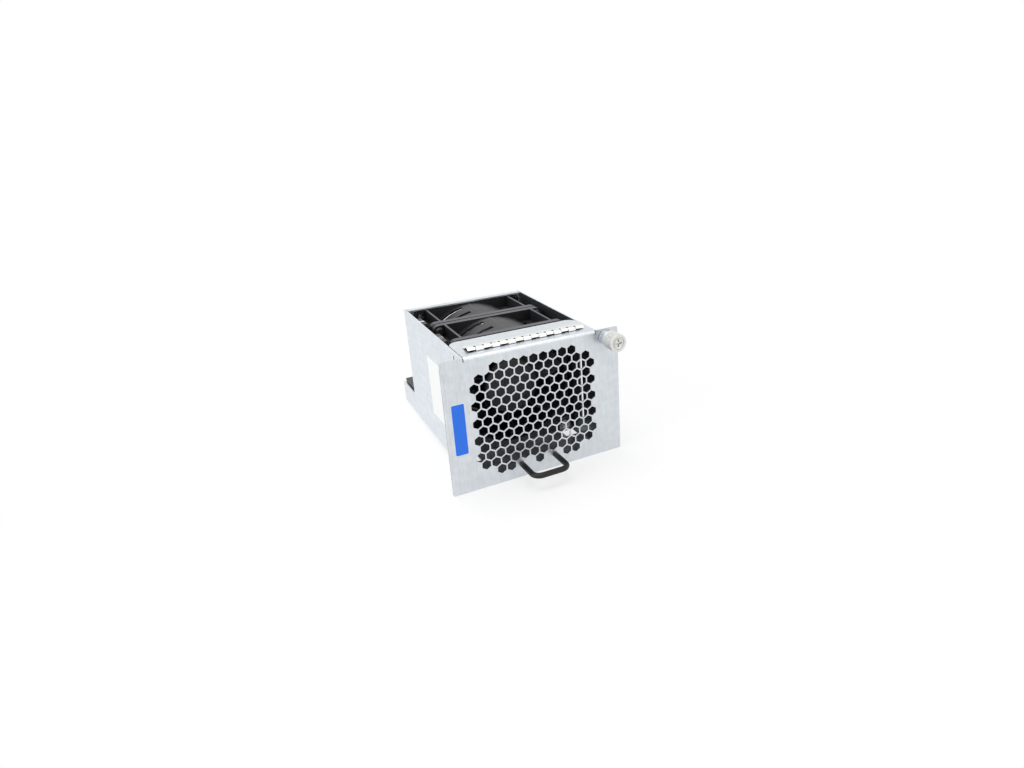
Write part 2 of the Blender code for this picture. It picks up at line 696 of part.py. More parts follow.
def make_emi_strip():
    """An arched spring steel strip: a flat foot behind, slit fingers in front, every second one raised."""
    foot = PANEL_HEIGHT + SEAT_GAP + STRIP_SHEET
    crest = foot - STRIP_SHEET + STRIP_CREST_RISE
    upper = [(STRIP_FOOT_END, foot), (STRIP_FOOT_START, foot)]
    steps = 6
    for i in range(1, steps + 1):
        share = i / steps
        depth = STRIP_FOOT_START + (STRIP_CREST - STRIP_FOOT_START) * share
        upper.append((depth, foot + (crest - foot) * (1 - math.cos(math.pi * share)) / 2))
    fall = crest - (PANEL_HEIGHT + SEAT_GAP)
    for i in range(1, steps + 1):
        angle = math.pi / 2 * i / steps
        depth = STRIP_CREST - (STRIP_CREST - STRIP_FRONT) * math.sin(angle)
        upper.append((depth, crest - fall * (1 - math.cos(angle))))
    section = sheet_outline(upper, STRIP_SHEET)
    strip = outline_solid("emi_strip", section, STRIP_LENGTH, (STRIP_X, 0, 0), SECTION_ALONG_X, SPRING_STEEL)
    left, right = STRIP_X - STRIP_LENGTH / 2, STRIP_X + STRIP_LENGTH / 2
    count = int(STRIP_LENGTH / FINGER_PITCH)
    edges = [left + number * FINGER_PITCH for number in range(count)] + [right + STRIP_SHEET]
    edges[0] = left - STRIP_SHEET
    top, low = crest + STRIP_SHEET, PANEL_HEIGHT
    for number, x in enumerate(edges[1:-1]):
        half = FINGER_SLIT / 2
        slit = box_between(
            f"finger_slit_{number}",
            (x - half, STRIP_FRONT - STRIP_SHEET * 2, low),
            (x + half, (SLIT_RELIEF_START + STRIP_CREST) / 2, top),
            helper=True,
        )
        relief = box_between(
            f"slit_relief_{number}",
            (x - SLIT_RELIEF_WIDTH / 2, SLIT_RELIEF_START, low),
            (x + SLIT_RELIEF_WIDTH / 2, SLIT_RELIEF_END, top),
            helper=True,
        )
        cut(strip, slit, relief)
    for number in range(0, count, 2):
        trim = box_between(
            f"finger_trim_{number}",
            (edges[number], STRIP_FRONT - STRIP_SHEET * 3, low - SEAT_GAP),
            (edges[number + 1], STRIP_CREST, low + SEAT_GAP + FINGER_LIFT),
            helper=True,
        )
        cut(strip, trim)
    return strip


def make_handle():
    """A bent rod whose two legs seat on the panel and are tapped from behind."""
    half, reach, bend = HANDLE_SPREAD / 2, -HANDLE_REACH, HANDLE_BEND_RADIUS
    outline = [(-half, -SEAT_GAP)]
    outline += arc(-half + bend, reach + bend, bend, 180, 270, 6)
    outline += arc(half - bend, reach + bend, bend, 270, 360, 6)
    outline += [(half, -SEAT_GAP)]
    curve = bpy.data.curves.new("pull_handle", "CURVE")
    curve.dimensions = "3D"
    curve.bevel_depth = HANDLE_ROD_RADIUS
    curve.bevel_resolution = 3
    curve.use_fill_caps = True
    spline = curve.splines.new("POLY")
    spline.points.add(len(outline) - 1)
    for point, (x, y) in zip(spline.points, outline):
        point.co = (x, y, 0, 1)
    guide = bpy.data.objects.new("handle_guide", curve)
    bpy.context.scene.collection.objects.link(guide)
    rod = bpy.data.meshes.new_from_object(guide.evaluated_get(bpy.context.evaluated_depsgraph_get()))
    bm = bmesh.new()
    bm.from_mesh(rod)
    bmesh.ops.remove_doubles(bm, verts=bm.verts, dist=0.000001)
    bpy.data.objects.remove(guide, do_unlink=True)
    bpy.data.meshes.remove(rod)
    handle = add_object("pull_handle", mesh_from("pull_handle", bm), (HANDLE_X, 0, HANDLE_Z), BLACK_ROD)
    for side in (-1, 1):
        place = (HANDLE_X + side * half, -SEAT_GAP, HANDLE_Z)
        bore = drum(f"handle_bore_{side}", HANDLE_BORE_RADIUS + SEAT_GAP, 2 * HANDLE_BORE_DEPTH, place, steps=8, helper=True)
        cut(handle, bore)
        name = "handle_screw_" + ("left" if side < 0 else "right")
        head = (place[0], PANEL_SHEET + SEAT_GAP, HANDLE_Z)
        length = PANEL_SHEET + SEAT_GAP + HANDLE_BORE_DEPTH - 2 * SEAT_GAP
        screw_turn = Euler((math.pi / 2, 0, 0))
        headed_pin(
            name, HANDLE_SCREW_HEAD_RADIUS, HANDLE_SCREW_HEAD_HEIGHT, HANDLE_BORE_RADIUS, length, head, SCREW_STEEL, screw_turn
        )
    return handle


def make_thumb_screw():
    """Captive screw, released: each piece has its origin on the screw's axis, at the panel's front face."""
    axis = (THUMB_X, 0, THUMB_Z)
    back = -PANEL_SHEET - SEAT_GAP
    inner, outer = FERRULE_RADIUS - FERRULE_WALL, FERRULE_RADIUS
    bore = THUMB_SCREW_RADIUS + THUMB_SCREW_PLAY
    # Heights run towards the user, out of the panel
    outward = Euler((math.pi / 2, 0, 0))
    ferrule = [
        (outer, FERRULE_LENGTH),
        (outer, SEAT_GAP + FERRULE_FLANGE),
        (FERRULE_FLANGE_RADIUS, SEAT_GAP + FERRULE_FLANGE),
        (FERRULE_FLANGE_RADIUS, SEAT_GAP),
        (FERRULE_NECK_RADIUS, SEAT_GAP),
        (FERRULE_NECK_RADIUS, back),
        (outer, back),
        (outer, back - 0.0006),
        (bore, back - 0.0006),
        (bore, SEAT_GAP + FERRULE_FLANGE * 0.5),
        (inner, SEAT_GAP + FERRULE_FLANGE * 0.5),
        (inner, FERRULE_LENGTH),
    ]
    turned("screw_ferrule", ferrule, axis, NICKEL, 24, outward)

    face, skirt = THUMB_STAND_OFF, THUMB_STAND_OFF - KNOB_LENGTH
    floor = face - KNOB_FACE_THICKNESS
    cavity = KNOB_RADIUS - KNOB_SKIRT_WALL
    shank = THUMB_SCREW_RADIUS
    knob_profile = [
        (0, face - 0.0004),
        (KNOB_RADIUS * 0.62, face - 0.0004),
        (KNOB_RADIUS * 0.68, face),
        (KNOB_RADIUS - 0.0006, face),
        (KNOB_RADIUS, face - 0.0006),
        (KNOB_RADIUS, skirt + 0.0005),
        (KNOB_RADIUS - 0.0004, skirt),
        (cavity, skirt),
        (cavity, floor),
        (shank + SEAT_GAP, floor),
        (shank + SEAT_GAP, face - RECESS_DEPTH - 0.0012),
        (0, face - RECESS_DEPTH - 0.0012),
    ]
    knob = turned("screw_knob", knob_profile, axis, NICKEL, 24, outward)
    for number, angle in enumerate((0, math.pi / 2)):
        slot = block(
            f"recess_{number}", (RECESS_LENGTH, 2 * RECESS_DEPTH, RECESS_WIDTH), (THUMB_X, -face, THUMB_Z), helper=True
        )
        slot.rotation_euler = (0, angle, 0)
        cut(knob, slot)

    tip = back - THUMB_SCREW_REACH + 0.0012
    top = face - RECESS_DEPTH - 0.0012 - SEAT_GAP
    screw_profile = [(0, top), (shank, top), (shank, tip + 0.0008), (shank * 0.7, tip), (0, tip)]
    turned("thumb_screw", screw_profile, axis, SCREW_STEEL, 16, outward)

    washer_top = floor - SEAT_GAP
    washer_low = washer_top - WASHER_THICKNESS
    washer_outer = cavity - SEAT_GAP
    washer = [(washer_outer, washer_top), (washer_outer, washer_low), (bore, washer_low), (bore, washer_top)]
    turned("screw_washer", washer, axis, NYLON, 20, outward)

    clip_top = back - 0.0006 - SEAT_GAP
    clip_low = clip_top - THUMB_CLIP_THICKNESS
    clip = [
        (THUMB_CLIP_RADIUS, clip_top),
        (THUMB_CLIP_RADIUS, clip_low),
        (bore, clip_low),
        (bore, clip_top),
    ]
    turned("screw_clip", clip, axis, SCREW_STEEL, 16, outward)

    wire = SPRING_WIRE / 2
    spring_low = SEAT_GAP + FERRULE_FLANGE * 0.5 + SEAT_GAP + wire
    spring_high = washer_low - SEAT_GAP - wire
    coil_radius = (bore + inner) / 2
    curve = bpy.data.curves.new("screw_spring", "CURVE")
    curve.dimensions = "3D"
    curve.bevel_depth = wire
    curve.bevel_resolution = 0
    curve.use_fill_caps = True
    spline = curve.splines.new("POLY")
    per_turn = 9
    count = SPRING_TURNS * per_turn
    spline.points.add(count)
    for i, point in enumerate(spline.points):
        angle = 2 * math.pi * i / per_turn
        height = spring_low + (spring_high - spring_low) * i / count
        point.co = (coil_radius * math.cos(angle), coil_radius * math.sin(angle), height, 1)
    add_object("screw_spring", curve, axis, SPRING_STEEL, outward)


def fan_place(setback):
    return (FAN_X, setback + FAN_DEPTH / 2, FAN_Z)


def make_housing(prefix, setback, outlet):
    """Square flanges on a round barrel with corner pockets, side slits and the motor's spokes.

    outlet is 1 where the spokes are at the rear and -1 where they are at the front."""
    place = fan_place(setback)
    name = prefix + "_housing"
    size = (FAN_SIDE, FAN_DEPTH, FAN_SIDE)
    housing = block(name, size, place, FAN_PLASTIC, "Y", FAN_CORNER_RADIUS, steps=3)
    bore = drum(name + "_bore", FAN_BORE_RADIUS, 2 * FAN_DEPTH, place, steps=40, helper=True)
    pocket_size = (FAN_SIDE * 1.2, FAN_DEPTH - 2 * FAN_FLANGE, FAN_SIDE * 1.2)
    pockets = block(name + "_pockets", pocket_size, place, helper=True)
    barrel = drum(name + "_barrel", BARREL_RADIUS, FAN_DEPTH, place, steps=40, helper=True)
    cut(pockets, barrel)
    for side in (-1, 1):
        upright = (place[0] + side * WEB_OFFSET, place[1], place[2])
        level = (place[0], place[1], place[2] + side * WEB_OFFSET)
        long = FAN_SIDE * 1.3
        web_a = block(f"{name}_web_x_{side}", (WEB_THICKNESS, FAN_DEPTH, long), upright, helper=True)
        web_b = block(f"{name}_web_z_{side}", (long, FAN_DEPTH, WEB_THICKNESS), level, helper=True)
        cut(pockets, web_a, web_b)
    cut(housing, pockets, bore)
    for i in (-1, 1):
        for k in (-1, 1):
            corner = (place[0] + i * HOLE_PITCH / 2, place[1], place[2] + k * HOLE_PITCH / 2)
            hole = drum(f"{name}_hole_{i}_{k}", FAN_HOLE_RADIUS, 2 * FAN_DEPTH, corner, steps=10, helper=True)
            cut(housing, hole)
    cut(housing, slit_cutter(name, place))
    join(housing, motor_mount(name, place, outlet))
    return housing


def slit_cutter(name, place):
    """Arcs cut through the barrel on both sides of each of its four flats."""
    bm = bmesh.new()
    inner, outer = FAN_BORE_RADIUS - 0.0012, BARREL_RADIUS + 0.0012
    steps = 3
    for side, depth, start, end in SLITS:
        middle = depth - FAN_DEPTH / 2
        for flat in range(4):
            rows = []
            for y in (middle - SLIT_WIDTH / 2, middle + SLIT_WIDTH / 2):
                for radius in (inner, outer):
                    row = []
                    for i in range(steps + 1):
                        angle = flat * math.pi / 2 + side * (start + (end - start) * i / steps)
                        row.append(bm.verts.new((radius * math.sin(angle), y, radius * math.cos(angle))))
                    rows.append(row)
            loops = list(zip(rows[0], rows[1], rows[3], rows[2]))
            for a, b in zip(loops, loops[1:]):
                for k in range(4):
                    bm.faces.new((a[k], a[(k + 1) % 4], b[(k + 1) % 4], b[k]))
            bm.faces.new(loops[0])
            bm.faces.new(loops[-1])
    return add_object(name + "_slits", mesh_from(name + "_slits", bm), place, helper=True)


def motor_mount(name, place, outlet):
    """The motor base, its spokes and the bearing tube as one solid, the base flush with one flange."""
    end = outlet * FAN_DEPTH / 2
    base_y = place[1] + end - outlet * MOTOR_BASE_THICKNESS / 2
    base_place = (place[0], base_y, place[2])
    base = drum(name + "_base", MOTOR_BASE_RADIUS, MOTOR_BASE_THICKNESS, base_place, helper=True)
    reach = (FAN_BORE_RADIUS + BARREL_RADIUS) / 2
    inner = MOTOR_BASE_RADIUS - 0.0012
    for number in range(STRUT_COUNT):
        angle = 2 * math.pi * (number + 0.5) / STRUT_COUNT
        middle = (reach + inner) / 2
        strut_place = (
            place[0] + middle * math.sin(angle),
            place[1] + end - outlet * (STRUT_DEPTH / 2 + 0.0002),
            place[2] + middle * math.cos(angle),
        )
        strut = block(f"{name}_strut_{number}", (STRUT_WIDTH, STRUT_DEPTH, reach - inner), strut_place, helper=True)
        strut.rotation_euler = (0, angle, 0)
        join(base, strut)
    tube_length = bearing_tube_length()
    tube_y = place[1] + end - outlet * (tube_length / 2 + BASE_EDGE)
    post = drum(name + "_post", BEARING_TUBE_RADIUS, tube_length, (place[0], tube_y, place[2]), steps=20, helper=True)
    join(base, post)
    hole_radius = BEARING_OUTER_RADIUS + SEAT_GAP / 3
    hole_y = place[1] + end - outlet * (MOTOR_BASE_THICKNESS + tube_length)
    hole = drum(name + "_post_bore", hole_radius, 2 * tube_length, (place[0], hole_y, place[2]), steps=20, helper=True)
    return cut(base, hole)


def bearing_tube_length():
    return FAN_DEPTH - HUB_INSET - HUB_WALL - HUB_BOSS - TUBE_CLEARANCE - BASE_EDGE


def make_impeller(prefix, setback, outlet):
    """Hub cup with swept, cambered blades. Its origin is on the fan's axis."""
    place = fan_place(setback)
    name = prefix + "_impeller"
    # Local Z runs along the axis, away from the motor base
    rotation = Euler((outlet * math.pi / 2, 0, 0))
    face = FAN_DEPTH / 2 - HUB_INSET
    low = face - HUB_LENGTH
    wall = HUB_RADIUS - HUB_WALL
    boss = SHAFT_RADIUS + 0.0018
    floor = face - HUB_WALL
    boss_low = floor - HUB_BOSS
    profile = [
        (0, face),
        (HUB_RADIUS - 0.0022, face),
        (HUB_RADIUS - 0.0006, face - 0.0007),
        (HUB_RADIUS, face - 0.0024),
        (HUB_RADIUS, low),
        (wall, low),
        (wall, floor),
        (boss, floor),
        (boss, boss_low),
        (SHAFT_RADIUS + SEAT_GAP, boss_low),
        (SHAFT_RADIUS + SEAT_GAP, floor + HUB_WALL * 0.4),
        (0, floor + HUB_WALL * 0.4),
    ]
    hub = turned(name, profile, place, FAN_BLACK, ROUND_STEPS, rotation)
    blade_mesh = blade(name + "_blade", face, outlet)
    for number in range(BLADE_COUNT):
        copy = add_object(f"{name}_blade_{number}", blade_mesh, place, rotation=rotation, helper=True)
        spin = Matrix.Rotation(2 * math.pi * number / BLADE_COUNT, 4, "Z")
        copy.rotation_euler = (rotation.to_matrix().to_4x4() @ spin).to_euler()
        thick = copy.modifiers.new("Thickness", "SOLIDIFY")
        thick.thickness = BLADE_THICKNESS
        thick.offset = 0
        join(hub, copy)
    return hub


def blade(name, face, hand):
    """One blade as a grid: rows run from the hub to the tip, columns along the chord.

    A point at share s of the chord has turned BLADE_TURN * (s + camber * s * (1 - s)) about the
    axis and lies BLADE_DEPTH * s below the front edge; the tip is swept back by BLADE_SWEEP."""
    rows, columns = 2, 4
    root = HUB_RADIUS - HUB_WALL * 0.6
    tip = FAN_BORE_RADIUS - TIP_CLEARANCE
    front = face - 0.0008
    bm = bmesh.new()
    grid = []
    for j in range(rows + 1):
        share = j / rows
        radius = root + (tip - root) * share
        row = []
        for i in range(columns + 1):
            s = i / columns
            turn = BLADE_TURN * (s + BLADE_CAMBER * s * (1 - s)) * (1 - 0.18 * share) + BLADE_SWEEP * share**2
            angle = hand * turn
            z = front - BLADE_DEPTH * s
            row.append(bm.verts.new((radius * math.cos(angle), radius * math.sin(angle), z)))
        grid.append(row)
    for low_row, high_row in zip(grid, grid[1:]):
        for a, b, c, d in zip(low_row, low_row[1:], high_row[1:], high_row):
            bm.faces.new((a, b, c, d))
    return mesh_from(name, bm)


def make_motor(prefix, setback, outlet):
    """Magnet ring, shaft and clip on the rotor; bearings, stator and circuit board on the housing."""
    place = fan_place(setback)
    end = place[1] + outlet * FAN_DEPTH / 2

    def at(distance):
        """A point on the axis, that far from the motor base's outer face towards the hub's face."""
        return (place[0], end - outlet * distance, place[2])

    hub_face = FAN_DEPTH - HUB_INSET
    hub_open = hub_face - HUB_LENGTH
    hub_floor = hub_face - HUB_WALL
    magnet_outer = HUB_RADIUS - HUB_WALL - SEAT_GAP
    magnet_inner = magnet_outer - MAGNET_THICKNESS
    magnet_middle = hub_floor - SEAT_GAP - MAGNET_LENGTH / 2
    ring(prefix + "_magnet_ring", magnet_inner, magnet_outer, MAGNET_LENGTH, at(magnet_middle), MAGNET, 28)

    tube_end = bearing_tube_length() + BASE_EDGE
    bearing_bore = SHAFT_RADIUS + BEARING_PLAY
    low_bearing = MOTOR_BASE_THICKNESS + 0.0030 + BEARING_WIDTH / 2
    high_bearing = tube_end - SEAT_GAP - BEARING_WIDTH / 2
    for label, distance in (("bearing_inner", high_bearing), ("bearing_outer", low_bearing)):
        ring(f"{prefix}_{label}", bearing_bore, BEARING_OUTER_RADIUS, BEARING_WIDTH, at(distance), BEARING_STEEL, 18)

    shaft_top = hub_floor + HUB_WALL * 0.4 - SEAT_GAP
    clip_distance = low_bearing - BEARING_WIDTH / 2 - SEAT_GAP - SHAFT_CLIP_THICKNESS / 2
    shaft_low = clip_distance - SHAFT_CLIP_THICKNESS / 2 - 0.0008
    shaft_length = shaft_top - shaft_low
    drum(prefix + "_shaft", SHAFT_RADIUS, shaft_length, at((shaft_top + shaft_low) / 2), SCREW_STEEL, 16)
    clip_bore = SHAFT_RADIUS + SEAT_GAP
    ring(
        prefix + "_shaft_clip", clip_bore, SHAFT_CLIP_RADIUS, SHAFT_CLIP_THICKNESS, at(clip_distance), SPRING_STEEL, 16
    )

    stator_outer = magnet_inner - STATOR_AIR_GAP
    stator_bore = BEARING_TUBE_RADIUS + SEAT_GAP
    stator_place = at(magnet_middle)
    core = ring(
        prefix + "_stator", stator_bore, STATOR_CORE_RADIUS + 0.0006, STATOR_LENGTH, stator_place, LAMINATION, 18
    )
    for number in range(STATOR_ARMS):
        angle = 2 * math.pi * number / STATOR_ARMS
        reach = stator_outer - STATOR_SHOE_DEPTH / 2
        middle = (STATOR_CORE_RADIUS + reach) / 2
        arm_place = (
            stator_place[0] + middle * math.sin(angle),
            stator_place[1],
            stator_place[2] + middle * math.cos(angle),
        )
        arm_size = (STATOR_ARM_WIDTH, STATOR_LENGTH - 0.0004, reach - STATOR_CORE_RADIUS)
        arm = block(f"{prefix}_arm_{number}", arm_size, arm_place, helper=True)
        arm.rotation_euler = (0, angle, 0)
        join(core, arm)
    shoes = ring(
        prefix + "_shoes", stator_outer - STATOR_SHOE_DEPTH, stator_outer, STATOR_LENGTH - 0.0008, stator_place, steps=18, helper=True
    )
    for number in range(STATOR_ARMS // 2):
        angle = 2 * math.pi * (number + 0.5) / STATOR_ARMS
        gap = block(f"{prefix}_slot_{number}", (WINDING_GAP, 2 * STATOR_LENGTH, 4 * stator_outer), stator_place, helper=True)
        gap.rotation_euler = (0, angle, 0)
        cut(shoes, gap)
    join(core, shoes)

    board_distance = MOTOR_BASE_THICKNESS + SEAT_GAP + CIRCUIT_BOARD_THICKNESS / 2
    ring(
        prefix + "_circuit_board",
        BEARING_TUBE_RADIUS + SEAT_GAP,
        MOTOR_BASE_RADIUS - 0.0020,
        CIRCUIT_BOARD_THICKNESS,
        at(board_distance),
        BOARD_GREEN,
        24,
    )
    assert hub_open > board_distance


def make_fan_fixings():
    """The gasket between the fans, the pins through both flanges and the screws from both ends."""
    thickness = FAN_SPACING - 2 * SEAT_GAP
    middle = (FAN_X, FAN_SETBACK + FAN_DEPTH + FAN_SPACING / 2, FAN_Z)
    side = FAN_SIDE - 0.0006
    gasket = block("fan_gasket", (side, thickness, side), middle, RUBBER, "Y", FAN_CORNER_RADIUS, steps=3)
    opening = drum("gasket_opening", FAN_BORE_RADIUS, 8 * thickness, middle, steps=40, helper=True)
    cut(gasket, opening)
    grip = 2 * FAN_FLANGE + FAN_SPACING + 2 * SEAT_GAP
    for i, across in ((-1, "left"), (1, "right")):
        for k, up in ((-1, "lower"), (1, "upper")):
            x, z = FAN_X + i * HOLE_PITCH / 2, FAN_Z + k * HOLE_PITCH / 2
            hole = drum(f"gasket_hole_{i}_{k}", FAN_HOLE_RADIUS, 8 * thickness, (x, middle[1], z), steps=12, helper=True)
            cut(gasket, hole)
            head = (x, middle[1] - grip / 2, z)
            pin = turned(f"link_pin_{up}_{across}", pin_profile(grip), head, BLACK_NYLON, 12)
            assert pin is not None
    front_head = FAN_SETBACK - TRAY_SHEET - 2 * SEAT_GAP
    rear_head = REAR_WALL_DEPTH + SEAT_GAP
    for i, across in ((-1, "left"), (1, "right")):
        for end, depth, reach in (("front", front_head, -1), ("rear", rear_head, 1)):
            head = (FAN_X + i * HOLE_PITCH / 2, depth, LOW_HOLE_Z)
            turn = Euler((reach * math.pi / 2, 0, 0))
            headed_pin(
                f"fan_screw_{end}_{across}",
                FAN_SCREW_HEAD_RADIUS,
                FAN_SCREW_HEAD_HEIGHT,
                FAN_SCREW_RADIUS,
                FAN_SCREW_LENGTH,
                head,
                SCREW_STEEL,
                turn,
                12,
            )


def pin_profile(grip):
    """A pin with a head at both ends, the shank between heights 0 and grip."""
    return [
        (0, grip + PIN_HEAD_HEIGHT),
        (PIN_HEAD_RADIUS * 0.7, grip + PIN_HEAD_HEIGHT),
        (PIN_HEAD_RADIUS, grip + PIN_HEAD_HEIGHT * 0.4),
        (PIN_HEAD_RADIUS, grip),
        (PIN_RADIUS, grip),
        (PIN_RADIUS, 0),
        (PIN_HEAD_RADIUS, 0),
        (PIN_HEAD_RADIUS, -PIN_HEAD_HEIGHT * 0.4),
        (PIN_HEAD_RADIUS * 0.7, -PIN_HEAD_HEIGHT),
        (0, -PIN_HEAD_HEIGHT),
    ]


def make_wiring():
    """Each fan's lead ends in a plug in the side gap; a harness goes on to the board's header."""
    x = HARNESS_X
    plug_z = TRAY_TOP - PLUG_TOP_DROP - PLUG_HEIGHT / 2
    barrel_left = FAN_X - BARREL_RADIUS
    for prefix, depth, setback, run, flip in (
        ("front", FAN_SETBACK + FRONT_PLUG_OFFSET, FAN_SETBACK, FRONT_RUN_HEIGHT, 1),
        ("rear", REAR_FAN_SETBACK + REAR_PLUG_OFFSET, REAR_FAN_SETBACK, REAR_RUN_HEIGHT, -1),
    ):
        size = (PLUG_WIDTH, PLUG_LENGTH, PLUG_HEIGHT)
        plug_y = depth + PLUG_LENGTH / 2
        socket_y = plug_y - flip * (PLUG_LENGTH + SEAT_GAP)
        block(prefix + "_lead_plug", size, (x, plug_y, plug_z), WHITE_NYLON, "Y", 0.0005, steps=1)
        socket_size = (PLUG_WIDTH, PLUG_LENGTH, PLUG_HEIGHT * 0.9)
        block(prefix + "_harness_socket", socket_size, (x, socket_y, plug_z), WHITE_NYLON, "Y", 0.0005, steps=1)
        exit_y = setback + FAN_DEPTH / 2 + flip * 0.006
        lead_start = plug_y + flip * (PLUG_LENGTH / 2 + SEAT_GAP)
        lead_turn = lead_start + flip * LEAD_LOOP
        lead = [
            (barrel_left - SEAT_GAP, exit_y, FAN_Z),
            (x, exit_y, FAN_Z),
            (x, lead_turn, FAN_Z + LEAD_SLOPE),
            (x, lead_turn, plug_z),
            (x, lead_start, plug_z),
        ]
        tube(prefix + "_lead", lead, LEAD_RADIUS, BLACK_SLEEVE)
        harness_start = socket_y - flip * (PLUG_LENGTH / 2 + SEAT_GAP)
        harness_turn = harness_start - flip * HARNESS_LOOP
        run_z = TRAY_FLOOR + run
        target = HEADER_LEFT + HEADER_WIDTH * (0.28 if flip > 0 else 0.72)
        passage = (REAR_WALL_DEPTH + HEADER_FRONT) / 2
        harness = [
            (x, harness_start, plug_z),
            (x, harness_turn, plug_z),
            (x, harness_turn + 0.002, run_z),
            (x, passage, run_z),
            (target, passage, run_z),
            (target, HEADER_FRONT - SEAT_GAP, run_z),
        ]
        tube(prefix + "_harness", harness, LEAD_RADIUS, BLACK_SLEEVE)


def make_interface_board():
    middle = (BOARD_X, BOARD_REAR - BOARD_DEPTH / 2, BOARD_TOP - BOARD_THICKNESS / 2)
    board = block("interface_board", (BOARD_WIDTH, BOARD_DEPTH, BOARD_THICKNESS), middle, BOARD_GREEN, "Z", 0.001, 2)
    standing = Euler((0, 0, 0))
    for side, label in ((-1, "left"), (1, "right")):
        x, y = standoff_place(side)
        hole = drum(
            f"board_hole_{side}", BOARD_SCREW_RADIUS + SEAT_GAP, 0.01, (x, y, middle[2]), steps=12, rotation=standing, helper=True
        )
        cut(board, hole)
        low, high = TRAY_FLOOR + SEAT_GAP, BOARD_TOP - BOARD_THICKNESS - SEAT_GAP
        bore = BOARD_SCREW_RADIUS + SEAT_GAP
        profile = [(STANDOFF_RADIUS, high), (STANDOFF_RADIUS, low), (bore, low), (bore, high)]
        turned("board_standoff_" + label, profile, (x, y, 0), BRASS, 12, standing)
        head = (x, y, BOARD_TOP + SEAT_GAP)
        length = BOARD_THICKNESS + BOARD_HEIGHT + 0.0002
        downwards = Euler((math.pi, 0, 0))
        headed_pin(
            "board_screw_" + label,
            BOARD_SCREW_HEAD_RADIUS,
            BOARD_SCREW_HEAD_HEIGHT,
            BOARD_SCREW_RADIUS,
            length,
            head,
            SCREW_STEEL,
            downwards,
            12,
        )
    low = BOARD_TOP + SEAT_GAP
    connector_x = BOARD_LEFT + CONNECTOR_WIDTH / 2
    rear = BOARD_REAR + 0.0010
    connector = box_between(
        "blind_mate_connector",
        (connector_x - CONNECTOR_WIDTH / 2, rear - CONNECTOR_DEPTH, low),
        (connector_x + CONNECTOR_WIDTH / 2, rear, low + CONNECTOR_HEIGHT),
        CONNECTOR_BLACK,
    )
    cavity = box_between(
        "connector_cavity",
        (connector_x - CONNECTOR_WIDTH / 2 + CONNECTOR_WALL, rear - CONNECTOR_CAVITY_DEPTH, low + CONNECTOR_WALL),
        (connector_x + CONNECTOR_WIDTH / 2 - CONNECTOR_WALL, rear + 0.01, low + CONNECTOR_HEIGHT - CONNECTOR_WALL),
        helper=True,
    )
    cut(connector, cavity)
    tongue = box_between(
        "connector_tongue",
        (connector_x - CONNECTOR_WIDTH / 2 + 2.5 * CONNECTOR_WALL, rear - CONNECTOR_CAVITY_DEPTH - 0.001, low + 0.0046),
        (connector_x + CONNECTOR_WIDTH / 2 - 2.5 * CONNECTOR_WALL, rear - 0.0008, low + 0.0064),
        helper=True,
    )
    join(connector, tongue)
    header = box_between(
        "board_header",
        (HEADER_LEFT, HEADER_FRONT, low),
        (HEADER_LEFT + HEADER_WIDTH, HEADER_FRONT + HEADER_DEPTH, low + HEADER_HEIGHT),
        WHITE_NYLON,
        round_axis="Y",
        radius=0.0004,
        steps=1,
    )
    return connector, header


clear_scene()
PARTS = new_collection("switch_fan_tray")
CUTTERS = new_collection("cutters")
DATUM = bpy.data.objects.new("panel_datum", None)
PARTS.objects.link(DATUM)
DATUM.location = (0, PANEL_FRONT_Y, 0)

ZINC = material("zinc_sheet", (0.72, 0.74, 0.76), 0.38, 0.85)
ZINC_SIDE = material("zinc_side_sheet", (0.76, 0.79, 0.83), 0.42, 0.80)
SPRING_STEEL = material("spring_steel", (0.82, 0.82, 0.80), 0.25, 1.0)
SCREW_STEEL = material("screw_steel", (0.60, 0.60, 0.60), 0.35, 1.0)
NICKEL = material("nickel", (0.80, 0.79, 0.76), 0.30, 0.9)
BLACK_ROD = material("black_rod", (0.03, 0.028, 0.028), 0.35, 0.3)
FAN_PLASTIC = material("fan_frame_plastic", (0.07, 0.07, 0.075), 0.5, 0.0)
FAN_BLACK = material("impeller_plastic", (0.03, 0.03, 0.032), 0.45, 0.0)
RUBBER = material("gasket_rubber", (0.05, 0.05, 0.05), 0.8, 0.0)
BLACK_NYLON = material("black_nylon", (0.04, 0.04, 0.04), 0.5, 0.0)
WHITE_NYLON = material("white_nylon", (0.85, 0.84, 0.80), 0.5, 0.0)
NYLON = material("natural_nylon", (0.80, 0.78, 0.72), 0.5, 0.0)
MAGNET = material("magnet_ferrite", (0.12, 0.12, 0.13), 0.6, 0.3)
BEARING_STEEL = material("bearing_steel", (0.65, 0.65, 0.66), 0.25, 1.0)
LAMINATION = material("stator_lamination", (0.35, 0.22, 0.14), 0.5, 0.6)
BOARD_GREEN = material("circuit_board", (0.05, 0.22, 0.10), 0.5, 0.0)
BRASS = material("brass", (0.72, 0.56, 0.28), 0.35, 1.0)
CONNECTOR_BLACK = material("connector_black", (0.03, 0.03, 0.035), 0.5, 0.0)
BLACK_SLEEVE = material("cable_sleeve", (0.04, 0.04, 0.04), 0.65, 0.0)

make_front_panel()
make_chassis_tub()
make_rear_panel()
make_emi_strip()
make_handle()
make_thumb_screw()
for fan_prefix, fan_setback, fan_outlet in (("front_fan", FAN_SETBACK, 1), ("rear_fan", REAR_FAN_SETBACK, -1)):
    make_housing(fan_prefix, fan_setback, fan_outlet)
    make_impeller(fan_prefix, fan_setback, fan_outlet)
    make_motor(fan_prefix, fan_setback, fan_outlet)
make_fan_fixings()
make_wiring()
make_interface_board()
